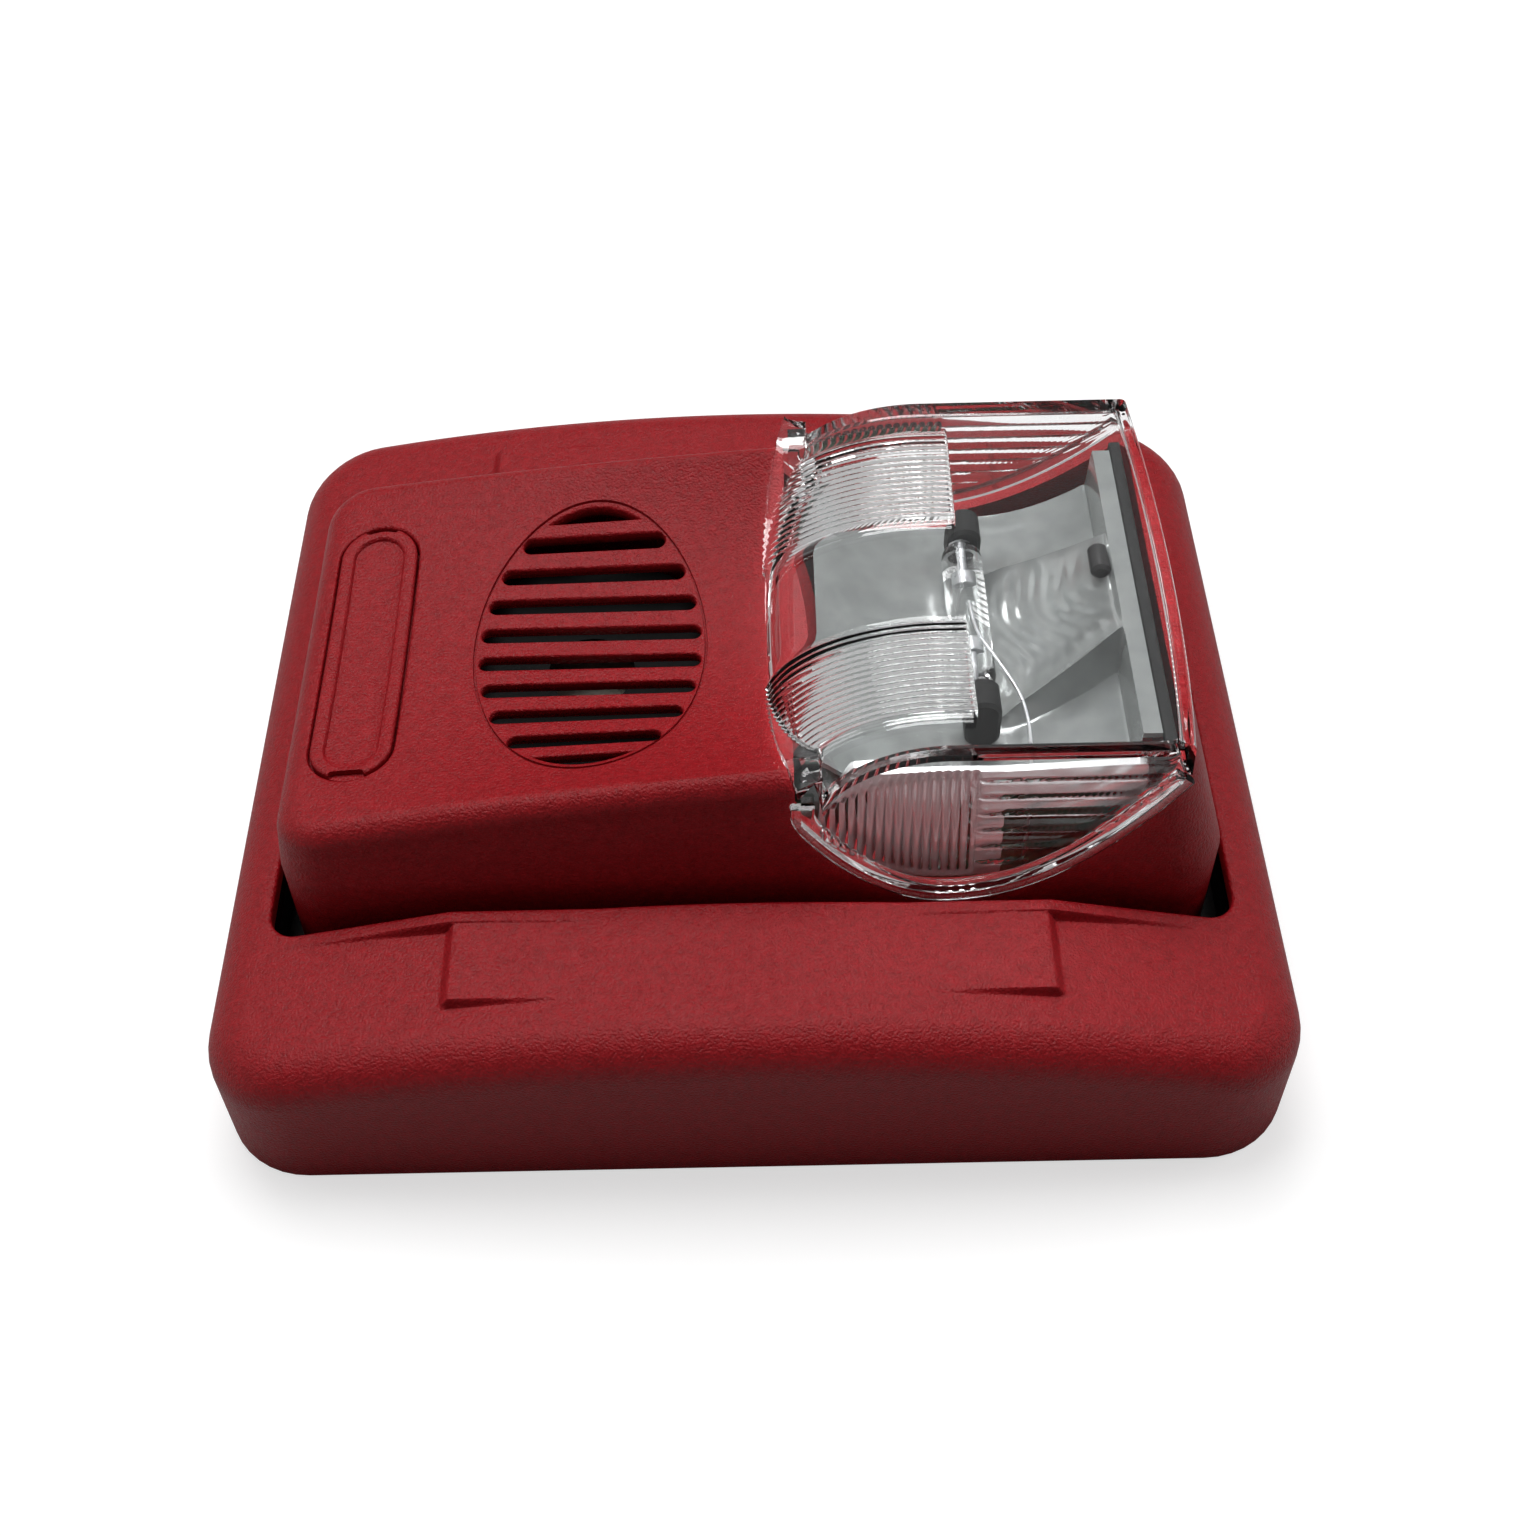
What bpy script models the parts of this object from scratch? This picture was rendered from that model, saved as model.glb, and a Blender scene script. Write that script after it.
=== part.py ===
# Wall horn strobe: a crowned trim frame on a mounting plate, and a head that lifts out of it.
# It lies on its back. +Z points out of the wall, +X towards the lens (up on the wall), +Y across it.
# The origin is the middle of the wall face. All sizes are in metres.
import math

import bmesh
import bpy
from mathutils import Matrix, Vector

MM = 0.001
TINY = 0.01 * MM
CLEAR = 0.3 * MM  # gap between pieces that touch
RUN_CLEAR = 0.3 * MM  # gap round a piece that slides
CORNER_STEPS = 5  # facets in a rounded plan corner
SMALL_EDGE_STEPS = 2  # facets in a small rounded edge
EDGE_STEPS = 3  # facets in a rounded top edge
ROUND_STEPS = 16  # facets round a small turned piece
BORE_STEPS = 12  # facets round a screw bore
SLOT_END_STEPS = 5  # facets in the round end of a slot
SMOOTH_ANGLE = 30  # degrees; edges flatter than this are shaded smooth

# Trim frame
FRAME_LENGTH = 140.0 * MM
FRAME_WIDTH = 118.0 * MM
FRAME_MID_HEIGHT = 28.0 * MM
FRAME_END_HEIGHT = 20.2 * MM
FRAME_CORNER = 12.0 * MM
FRAME_EDGE = 6.0 * MM
FRAME_WALL = 2.4 * MM
FRAME_SLICES = 15
FRAME_END_BAND = 9.0 * MM  # from the head's ends to the frame's ends
OPENING_GAP_X = 1.8 * MM
OPENING_GAP_Y = 2.3 * MM
OPENING_CORNER = 4.0 * MM
PAD_LENGTH = 76.4 * MM
PAD_MARGIN = 3.3 * MM  # from the pads to where the frame's edge begins to round
PAD_DROP = 0.8 * MM  # below the crown's highest line
PAD_EDGE = 0.7 * MM
RIM_WIDTH = 2.0 * MM
RIM_RISE = 0.2 * MM  # above the pad
RIM_REACH = 10.5 * MM  # from the rim strip's foot to the frame's end

# Head housing
HEAD_LENGTH = FRAME_LENGTH - 2 * FRAME_END_BAND
HEAD_WIDTH = 68.4 * MM
HEAD_CORNER = 7.0 * MM
HEAD_EDGE = 2.4 * MM
HEAD_WALL = 2.2 * MM
HEAD_SLICE = 9.0 * MM
TROUGH_FLOOR = 36.0 * MM  # height of the saddle's middle line
EDGE_LEFT = 36.9 * MM  # heights of the long top edges at the foot, at the lens and at the lens end
EDGE_LENS = 45.0 * MM
EDGE_RIGHT = 47.8 * MM
FOOT_LEAN = 1.2 * MM
LENS_END_LEAN = 5.6 * MM
LEAN_REACH = 16.0 * MM
LEAN_LOW = 28.5 * MM  # the walls stand upright below this
SIDE_LEAN = 0.19  # how far the long walls lean in for each unit of height

# Grille in the housing top
GRILLE_SHIFT = 3.15 * MM  # from midway between the badge and the lens, towards the lens
GRILLE_HALF_X = 15.75 * MM
GRILLE_HALF_Y = 24.0 * MM
GRILLE_RECESS = 0.5 * MM
SLOT_COUNT = 8
SLOT_PITCH = 5.05 * MM
SLOT_WIDTH = 2.3 * MM
SLOT_MARGIN = 0.6 * MM
CRESCENT_STEPS = 10
CRESCENT_MARGIN = 0.6 * MM
GRILLE_STEPS = 48
GRILLE_SLICES = 9

# Badge plate, left blank
BADGE_INSET = 9.3 * MM
BADGE_LENGTH = 45.0 * MM
BADGE_WIDTH = 10.8 * MM
BADGE_THICKNESS = 1.3 * MM
BADGE_PROUD = 0.35 * MM
BADGE_RIM = 1.9 * MM
BADGE_FIELD_DEPTH = 0.7 * MM
PRY_LENGTH = 4.6 * MM
PRY_WIDTH = 1.3 * MM
BADGE_SLICES = 8

# Lens
LENS_TOP = 50.0 * MM
LENS_WALL = 2.0 * MM
LENS_END_INSET = 6.7 * MM  # from the head's end to the lens's end
LENS_LENGTH = 51.5 * MM  # from there to where the curved front meets the saddle's middle
LENS_SADDLE = 2.2 * MM  # rise of the lens's top towards its sides
LENS_FRONT_LENGTH = 22.2 * MM
LENS_FRONT_RISE = 13.8 * MM
LENS_LEG = 3.4 * MM
LENS_LEG_BOTTOM = 39.7 * MM
LENS_LOW = 27.3 * MM
LENS_TIP = 48.4 * MM
LENS_TOP_EDGE = 1.5 * MM
LENS_BOW = 3.4 * MM
LENS_BOW_SLICES = 8
LENS_CURVE_STEPS = 8
NOTCH_SLOPE = 1.5  # upright gap for each unit of gap across the sloping edge
BAND_SLOPE = 1.2  # the same for the width of the rim band
RIM_LIP = 1.0 * MM  # how far the lens's lip covers the wall round the notch
RIM_FOOT = 0.5 * MM  # how far inside the notch's upright edge the lip begins
RIM_BAND = 2.3 * MM
RIM_THICKNESS = 1.1 * MM
RIM_SINK = 0.67  # share of the lip's thickness that the lens's side comes out to
BORDER_WIDTH = 0.4 * MM
BORDER_THICKNESS = 1.3 * MM
BORDER_SWEEP = 4  # power of the border's curve towards its ends
PRISM_INNER_Y = 9.3 * MM
PRISM_OUTER_Y = 25.0 * MM
PRISM_REACH = 25.7 * MM  # from the lens's front
PRISM_RIBS = 10
PRISM_BASE = 0.5 * MM
PRISM_HEIGHT = 0.9 * MM
PRISM_FOOT_ANGLE = 170  # degrees round the curved front, which has its foot at 180 and its top at 90
SIDE_RIBS = 14
SIDE_RIB_INSET = 6.2 * MM
SIDE_RIB_DEPTH = 0.8 * MM
SIDE_RIB_MARGIN = 3.4 * MM
SIDE_PANEL_ANGLE = 150
SIDE_PANEL_STEPS = 4
END_RIBS = 18
END_RIB_DEPTH = 0.7 * MM
END_RIB_HALF = 25.0 * MM
END_RIB_LOW = 47.2 * MM

# Reflector and flash tube
REFLECTOR_FRONT_INSET = 7.2 * MM  # inside the lens's front and end
REFLECTOR_END_INSET = 2.9 * MM
REFLECTOR_SIDE_INSET = 8.6 * MM  # inside the head's sides
REFLECTOR_FLOOR = 33.0 * MM
REFLECTOR_FLOOR_HALF = 4.0 * MM
REFLECTOR_FRONT_RISE = 7.0 * MM
REFLECTOR_BACK_RISE = 12.0 * MM
REFLECTOR_FLANGE = 3.4 * MM
REFLECTOR_SKIN = 1.3 * MM
REFLECTOR_GRID = 3.0 * MM
REFLECTOR_LEG = 3.6 * MM
REFLECTOR_LEG_INSET = 4.0 * MM
RIDGE_Y = 14.0 * MM
RIDGE_HEIGHT = 4.0 * MM
RIDGE_SPREAD = 6.0 * MM
TUBE_INSET = 27.2 * MM  # behind the lens's front
TUBE_Z = 39.6 * MM
TUBE_RADIUS = 2.8 * MM
TUBE_LENGTH = 25.0 * MM
TUBE_CAP_RADIUS = 1.6 * MM
TUBE_CAP_LENGTH = 4.0 * MM
GROMMET_LENGTH = 5.0 * MM
GROMMET_WIDTH = 6.4 * MM
GROMMET_ABOVE = 3.0 * MM
TRIGGER_WIRE_RADIUS = 0.35 * MM

# Mounting plate
PLATE_THICKNESS = 2.5 * MM
PLATE_RIM_HEIGHT = 8.0 * MM
PLATE_RIM_WALL = 2.0 * MM
WINDOW_LENGTH = 62.0 * MM
WINDOW_WIDTH = 56.0 * MM
WINDOW_CORNER = 5.0 * MM
BOX_SCREW_SPACING = 83.3 * MM  # along a single or double gang wall box
BOX_GANG_SPACING = 46.0 * MM
BOX_SLOT_WIDTH = 4.6 * MM
BOX_SLOT_LENGTH = 9.0 * MM
POST_INSET = 13.0 * MM  # inside the head's ends
POST_Y = 20.0 * MM
POST_RADIUS = 4.0 * MM
POST_PIN_RADIUS = 2.0 * MM
POST_PIN_LENGTH = 4.0 * MM

# Rear cover, circuit board and what they carry
COVER_LOW = 6.5 * MM
COVER_THICKNESS = 2.0 * MM
COVER_LIP_HEIGHT = 2.4 * MM
COVER_LIP_WALL = 1.4 * MM
COVER_SCREW_INSET = 5.5 * MM
COVER_SCREW_LENGTH = 12.0 * MM
COVER_SCREW_RADIUS = 1.5 * MM
COVER_SCREW_HEAD_RADIUS = 2.6 * MM
COVER_SCREW_HEAD = 1.9 * MM
BOSS_RADIUS = 3.5 * MM
BOSS_TOP = 27.0 * MM
BOARD_LOW = 12.0 * MM
BOARD_THICKNESS = 1.6 * MM
BOARD_FOOT_INSET = 18.0 * MM
BOARD_END_INSET = 11.0 * MM
BOARD_SIDE_GAP = 2.0 * MM
BOARD_CORNER = 2.0 * MM
BOARD_SCREW_INSET = 4.0 * MM
BOARD_BOSS_RADIUS = 3.0 * MM
BOARD_SCREW_RADIUS = 1.25 * MM
BOARD_SCREW_HEAD_RADIUS = 2.4 * MM
BOARD_SCREW_HEAD = 1.6 * MM
BOARD_SCREW_LENGTH = 4.0 * MM
WELL_RADIUS = 5.6 * MM
WELL_BORE_RADIUS = 4.3 * MM
WELL_LOW = 11.2 * MM
WELL_FLOOR = 2.0 * MM
HEAD_SCREW_RADIUS = 2.0 * MM
HEAD_SCREW_HEAD_RADIUS = 3.7 * MM
HEAD_SCREW_HEAD = 2.6 * MM
HEAD_SCREW_TIP = 3.5 * MM
PLATE_BOSS_RADIUS = 4.5 * MM
SCREW_SLOT_WIDTH = 1.0 * MM
SCREW_SLOT_DEPTH = 0.9 * MM

# Piezo sounder below the grille
SOUNDER_GAP = 4.1 * MM  # to the screw well
SOUNDER_WALL = 1.8 * MM
SOUNDER_FLOOR = 1.6 * MM
SOUNDER_LEDGE_Z = 21.0 * MM
SOUNDER_LEDGE = 1.6 * MM
SOUNDER_TOP = 29.0 * MM
SOUNDER_DISC_THICKNESS = 0.5 * MM
SOUNDER_CRYSTAL_SHARE = 0.6  # of the cup's radius
SOUNDER_CRYSTAL_THICKNESS = 0.5 * MM
SOUNDER_CAP_THICKNESS = 1.8 * MM
SOUNDER_SKIRT = 1.4 * MM
SOUNDER_MOUTH_RADIUS = 6.0 * MM
SOUNDER_STEPS = 24

# Strobe circuit on the board
CAPACITOR_INSET = 14.3 * MM  # before the lens's end
CAPACITOR_RADIUS = 6.0 * MM
CAPACITOR_LENGTH = 24.0 * MM
COIL_INSET = 17.2 * MM  # behind the lens's front
COIL_Y = 14.0 * MM
COIL_SIZE = 10.0 * MM
CHOKE_Y = -14.0 * MM
CHOKE_RADIUS = 5.0 * MM
CHOKE_WAIST = 3.6 * MM
CHOKE_HEIGHT = 9.0 * MM
CHIP_INSET = 5.2 * MM  # behind the lens's front
CHIP_LENGTH = 9.0 * MM
CHIP_WIDTH = 6.4 * MM
CHIP_HEIGHT = 1.8 * MM

# Wiring terminals and slide switches behind the board
TERMINAL_X = -16.0 * MM
TERMINAL_WAYS = 4
TERMINAL_PITCH = 6.2 * MM
TERMINAL_DEPTH = 10.0 * MM
TERMINAL_LOW = 2.9 * MM
TERMINAL_BORE = 2.3 * MM
TERMINAL_SCREW_RADIUS = 2.1 * MM
TERMINAL_SCREW_LENGTH = 2.6 * MM
TERMINAL_SCREW_SINK = 3.0 * MM
WIRE_MOUTH = 4.0 * MM
WIRE_MOUTH_DEPTH = 3.0 * MM
SWITCH_X = 13.0 * MM
LIGHT_SWITCH_Y = 12.0 * MM
TONE_SWITCH_Y = -12.0 * MM
LIGHT_TRAVEL = 7.2 * MM
TONE_TRAVEL = 4.8 * MM
SWITCH_WIDTH = 8.0 * MM
SWITCH_LOW = 5.9 * MM
SWITCH_FLOOR = 1.2 * MM
SWITCH_WALL = 2.4 * MM
SLIDER_LENGTH = 4.0 * MM
SLIDER_WIDTH = 4.0 * MM
SLIDER_HEIGHT = 2.2 * MM
SLIDER_STEM_WIDTH = 2.4 * MM
SLIDER_STEM_DROP = 1.6 * MM
COVER_CUT_GAP = 0.5 * MM

# Values worked out from the driving dimensions
head_half_x = HEAD_LENGTH / 2
head_half_y = HEAD_WIDTH / 2
head_low = COVER_LOW + COVER_THICKNESS + CLEAR
opening_half_x = head_half_x + OPENING_GAP_X
opening_half_y = head_half_y + OPENING_GAP_Y
pad_outer_y = FRAME_WIDTH / 2 - FRAME_EDGE - PAD_MARGIN
pad_top = FRAME_MID_HEIGHT - PAD_DROP
board_top = BOARD_LOW + BOARD_THICKNESS
board_seat = board_top + CLEAR
badge_x = BADGE_INSET - head_half_x
lens_end_x = head_half_x - LENS_END_INSET
lens_front_x = lens_end_x - LENS_LENGTH
lens_leg_x = lens_front_x + LENS_LEG
lens_low_x = lens_front_x + LENS_FRONT_LENGTH
prism_end_x = lens_front_x + PRISM_REACH
side_rib_start = lens_front_x + SIDE_RIB_INSET
grille_x = (badge_x + lens_front_x) / 2 + GRILLE_SHIFT
reflector_start_x = lens_front_x + REFLECTOR_FRONT_INSET
reflector_end_x = lens_end_x - REFLECTOR_END_INSET
tube_x = lens_front_x + TUBE_INSET
post_x = head_half_x - POST_INSET
reflector_half_y = head_half_y - REFLECTOR_SIDE_INSET
board_start_x = BOARD_FOOT_INSET - head_half_x
board_end_x = head_half_x - BOARD_END_INSET
board_half_y = head_half_y - HEAD_WALL - BOARD_SIDE_GAP
board_screw_places = (board_start_x + BOARD_SCREW_INSET, board_end_x - BOARD_SCREW_INSET)
board_screw_y = board_half_y - BOARD_SCREW_INSET
board_mid_x = (board_start_x + board_end_x) / 2
sounder_radius = grille_x - badge_x - WELL_RADIUS - SOUNDER_GAP
crystal_radius = SOUNDER_CRYSTAL_SHARE * sounder_radius
capacitor_x = lens_end_x - CAPACITOR_INSET
coil_x = lens_front_x + COIL_INSET
chip_x = lens_front_x + CHIP_INSET
cover_screw_x = head_half_x - COVER_SCREW_INSET
cover_screw_y = head_half_y - COVER_SCREW_INSET
edge_stations = (
    (-head_half_x + HEAD_WALL, EDGE_LEFT),
    (lens_front_x, EDGE_LENS),
    (lens_end_x, EDGE_RIGHT),
)


def crown(x):
    """Height of the frame's top: a parabola along its length."""
    drop = FRAME_MID_HEIGHT - FRAME_END_HEIGHT
    return FRAME_MID_HEIGHT - drop * (2 * x / FRAME_LENGTH) ** 2


def edge_height(x):
    """Height of the housing's long top edges: a parabola through three stations."""
    (xa, za), (xb, zb), (xc, zc) = edge_stations
    height = za * (x - xb) * (x - xc) / ((xa - xb) * (xa - xc))
    height += zb * (x - xa) * (x - xc) / ((xb - xa) * (xb - xc))
    return height + zc * (x - xa) * (x - xb) / ((xc - xa) * (xc - xb))


def side_draw(x):
    """Share of its half width that the housing keeps at its top edge, after the walls have leaned in."""
    return 1.0 - SIDE_LEAN * (edge_height(x) - LEAN_LOW) / head_half_y


def head_top(x, y):
    """Height of the housing's saddle: a trough between the long edges that fades out below the lens."""
    edge = edge_height(x)
    crest = (head_half_y - HEAD_EDGE) * side_draw(x)
    across = min(abs(y) / crest, 1.0)
    share = (x - lens_leg_x - LENS_WALL) / (lens_end_x - lens_leg_x - 2 * LENS_WALL)
    share = min(max(share, 0.0), 1.0)
    fade = 1.0 - share**2 * (3.0 - 2.0 * share)
    return edge - fade * max(edge - TROUGH_FLOOR, 0.0) * (1.0 - across**2)


def notch_edge(x):
    """Height of the lens's lower side edge: two half parabolas that meet at its lowest point."""
    if x < lens_low_x:
        reach, rise = lens_low_x - lens_leg_x, LENS_LEG_BOTTOM - LENS_LOW
    else:
        reach, rise = lens_end_x - lens_low_x, LENS_TIP - LENS_LOW
    return LENS_LOW + rise * ((x - lens_low_x) / reach) ** 2


def wall_line(z):
    """Half width of the housing at a height on its leaning walls."""
    return head_half_y - SIDE_LEAN * (z - LEAN_LOW)


def lens_half(z):
    """Half width of the lens, whose sides lean with the housing's walls."""
    return wall_line(z) + CLEAR + RIM_SINK * RIM_THICKNESS


def lens_bow(x, y):
    """How far the curved front falls back towards its sides."""
    fade = (lens_front_x + LENS_FRONT_LENGTH - x) / LENS_FRONT_LENGTH
    return LENS_BOW * (y / lens_half(LENS_TOP)) ** 2 * min(max(fade, 0.0), 1.0)


def lens_lift(y, z):
    """How far the lens's top rises towards its sides."""
    share = (z - LENS_TOP + LENS_FRONT_RISE) / LENS_FRONT_RISE
    return LENS_SADDLE * (y / lens_half(LENS_TOP)) ** 2 * min(max(share, 0.0), 1.0)


def reflector_height(x, y):
    """Height of the mirror: two curved banks along the tube, with a ridge on each side of the back one."""
    front = max(tube_x - REFLECTOR_FLOOR_HALF - x, 0.0)
    front /= tube_x - REFLECTOR_FLOOR_HALF - reflector_start_x
    back_start = tube_x + REFLECTOR_FLOOR_HALF
    back = (x - back_start) / (reflector_end_x - REFLECTOR_FLANGE - back_start)
    back = min(max(back, 0.0), 1.0)
    ridge = max(1.0 - abs(abs(y) - RIDGE_Y) / RIDGE_SPREAD, 0.0)
    swell = RIDGE_HEIGHT * ridge**2 * 4.0 * back * (1.0 - back)
    return REFLECTOR_FLOOR + REFLECTOR_FRONT_RISE * front**2 + REFLECTOR_BACK_RISE * back**2 + swell


def spread(low, high, count):
    """Evenly spaced values from low to high, both included."""
    return [low + (high - low) * step / (count - 1) for step in range(count)]


for leftover in list(bpy.data.objects):
    bpy.data.objects.remove(leftover, do_unlink=True)

parts = bpy.data.collections.new("horn_strobe")
cutters = bpy.data.collections.new("cutters")
bpy.context.scene.collection.children.link(parts)
bpy.context.scene.collection.children.link(cutters)


def make_material(name, color, roughness, metallic=0.0, transmission=0.0):
    material = bpy.data.materials.new(name)
    material.use_nodes = True
    shader = material.node_tree.nodes["Principled BSDF"]
    shader.inputs["Base Color"].default_value = (*color, 1.0)
    shader.inputs["Roughness"].default_value = roughness
    shader.inputs["Metallic"].default_value = metallic
    shader.inputs["Transmission Weight"].default_value = transmission
    material.diffuse_color = (*color, 1.0)
    return material


red_plastic = make_material("red plastic", (0.42, 0.012, 0.018), 0.5)
clear_plastic = make_material("clear plastic", (0.95, 0.96, 0.97), 0.05, transmission=1.0)
mirror_film = make_material("mirror film", (0.75, 0.76, 0.76), 0.15, metallic=1.0)
black_plastic = make_material("black plastic", (0.02, 0.02, 0.02), 0.5)
black_rubber = make_material("black rubber", (0.015, 0.015, 0.015), 0.8)
board_green = make_material("board green", (0.02, 0.16, 0.06), 0.4)
steel = make_material("zinc steel", (0.6, 0.6, 0.58), 0.3, metallic=1.0)
brass = make_material("brass", (0.7, 0.5, 0.2), 0.3, metallic=1.0)
ceramic = make_material("ceramic", (0.8, 0.78, 0.72), 0.4)
copper = make_material("copper", (0.6, 0.25, 0.12), 0.35, metallic=1.0)
white_plastic = make_material("white plastic", (0.75, 0.75, 0.72), 0.4)


def place(name, bm, material):
    """Part from a bmesh, in the object's collection."""
    bm.normal_update()
    bmesh.ops.recalc_face_normals(bm, faces=bm.faces[:])
    mesh = bpy.data.meshes.new(name)
    bm.to_mesh(mesh)
    bm.free()
    piece = bpy.data.objects.new(name, mesh)
    piece.data.materials.append(material)
    parts.objects.link(piece)
    return piece


def tool(name, bm):
    """Cutter or join shape from a bmesh, which isn't part of the object."""
    bm.normal_update()
    bmesh.ops.recalc_face_normals(bm, faces=bm.faces[:])
    mesh = bpy.data.meshes.new(name)
    bm.to_mesh(mesh)
    bm.free()
    shape = bpy.data.objects.new(name, mesh)
    shape.hide_render = True
    shape.display_type = "WIRE"
    cutters.objects.link(shape)
    return shape


def combine(piece, operation, *shapes):
    for shape in shapes:
        modifier = piece.modifiers.new(f"{operation} {shape.name}", "BOOLEAN")
        modifier.operation = operation
        modifier.solver = "EXACT"
        modifier.object = shape


def box(low, high):
    bm = bmesh.new()
    bmesh.ops.create_cube(bm, size=1.0)
    size = Vector(high) - Vector(low)
    bmesh.ops.scale(bm, vec=size, verts=bm.verts[:])
    bmesh.ops.translate(bm, vec=(Vector(high) + Vector(low)) / 2, verts=bm.verts[:])
    return bm


def block(half_x, half_y, low, high, corner, edge=0.0, slices_x=(), slices_y=()):
    """Box with rounded plan corners and, where asked, a rounded top edge and slices to shape it by."""
    bm = box((-half_x, -half_y, low), (half_x, half_y, high))
    upright = [e for e in bm.edges if abs(e.verts[0].co.z - e.verts[1].co.z) > TINY]
    bmesh.ops.bevel(bm, geom=upright, offset=corner, segments=CORNER_STEPS, profile=0.5, affect="EDGES")
    if edge:
        top = [e for e in bm.edges if all(v.co.z > high - TINY for v in e.verts)]
        bmesh.ops.bevel(bm, geom=top, offset=edge, segments=EDGE_STEPS, profile=0.5, affect="EDGES")
    for x in slices_x:
        slice_at(bm, (x, 0, 0), (1, 0, 0))
    for y in slices_y:
        slice_at(bm, (0, y, 0), (0, 1, 0))
    return bm


def slice_at(bm, point, normal):
    geometry = bm.verts[:] + bm.edges[:] + bm.faces[:]
    bmesh.ops.bisect_plane(bm, geom=geometry, dist=TINY, plane_co=point, plane_no=normal)


def cylinder(radius, low, high, x, y, steps=ROUND_STEPS):
    bm = bmesh.new()
    bmesh.ops.create_cone(
        bm, cap_ends=True, segments=steps, radius1=radius, radius2=radius, depth=high - low
    )
    bmesh.ops.translate(bm, vec=(x, y, (low + high) / 2), verts=bm.verts[:])
    return bm


def extruded(outline, depth):
    """Closed solid from a flat outline in XY, filled and extruded by depth, centred on Z = 0."""
    curve = bpy.data.curves.new("outline", "CURVE")
    curve.dimensions = "2D"
    curve.fill_mode = "BOTH"
    curve.extrude = depth / 2
    spline = curve.splines.new("POLY")
    spline.points.add(len(outline) - 1)
    for point, (x, y) in zip(spline.points, outline):
        point.co = (x, y, 0.0, 1.0)
    spline.use_cyclic_u = True
    return curve_solid(curve)


def curve_solid(curve):
    """Welded bmesh of a curve, which is then removed."""
    holder = bpy.data.objects.new("outline", curve)
    cutters.objects.link(holder)
    bpy.context.view_layer.update()
    evaluated = holder.evaluated_get(bpy.context.evaluated_depsgraph_get())
    mesh = bpy.data.meshes.new_from_object(evaluated)
    bm = bmesh.new()
    bm.from_mesh(mesh)
    bmesh.ops.remove_doubles(bm, verts=bm.verts[:], dist=TINY / 10)
    bpy.data.objects.remove(holder, do_unlink=True)
    bpy.data.meshes.remove(mesh)
    return bm


def side_prism(outline, low_y, high_y):
    """Solid from an outline in XZ that runs from low_y to high_y."""
    bm = extruded(outline, high_y - low_y)
    turn = Matrix.Rotation(math.radians(90), 4, "X")
    bmesh.ops.transform(bm, matrix=turn, verts=bm.verts[:])
    bmesh.ops.translate(bm, vec=(0, (low_y + high_y) / 2, 0), verts=bm.verts[:])
    return bm


def arc(cx, cy, rx, ry, start, end, steps):
    """Points on an ellipse from start to end degrees."""
    turns = [math.radians(angle) for angle in spread(start, end, steps + 1)]
    return [(cx + rx * math.cos(turn), cy + ry * math.sin(turn)) for turn in turns]


def obround(x, y, length, width, along_y):
    """Slot outline with round ends."""
    radius = width / 2
    reach = length / 2 - radius
    if along_y:
        ends = arc(x, y + reach, radius, radius, 0, 180, SLOT_END_STEPS)
        return ends + arc(x, y - reach, radius, radius, 180, 360, SLOT_END_STEPS)
    ends = arc(x + reach, y, radius, radius, -90, 90, SLOT_END_STEPS)
    return ends + arc(x - reach, y, radius, radius, 90, 270, SLOT_END_STEPS)


def turned(name, profile, x, y, material, steps=ROUND_STEPS):
    """Turned piece: a profile of radius and height, listed down its outer side, under a Screw modifier."""
    mesh = bpy.data.meshes.new(name)
    points = [(radius, 0.0, height) for radius, height in profile]
    edges = [(index, index + 1) for index in range(len(points) - 1)]
    if profile[0][0] > TINY:
        edges.append((len(points) - 1, 0))
    mesh.from_pydata(points, edges, [])
    piece = bpy.data.objects.new(name, mesh)
    piece.location = (x, y, 0.0)
    piece.data.materials.append(material)
    parts.objects.link(piece)
    screw = piece.modifiers.new("turn", "SCREW")
    screw.steps = steps
    screw.render_steps = steps
    screw.use_merge_vertices = True
    screw.merge_threshold = TINY / 10
    return piece


def shape_head(bm, flat_top, edge, offset):
    """Drapes a flat block's top on the saddle, and leans its walls and ends."""
    for vert in bm.verts:
        x, y, z = vert.co
        if z < flat_top - edge - TINY:
            continue
        vert.co.y = y * side_draw(x)
        vert.co.z = z - flat_top + head_top(x, vert.co.y) + offset
        share = (vert.co.z - LEAN_LOW) / (EDGE_RIGHT - LEAN_LOW)
        start = head_half_x - LEAN_REACH
        reach = min(max((abs(x) - start) / LEAN_REACH, 0.0), 1.0)
        lean = LENS_END_LEAN if x > 0 else -FOOT_LEAN
        vert.co.x -= lean * reach * share
    return bm


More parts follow.
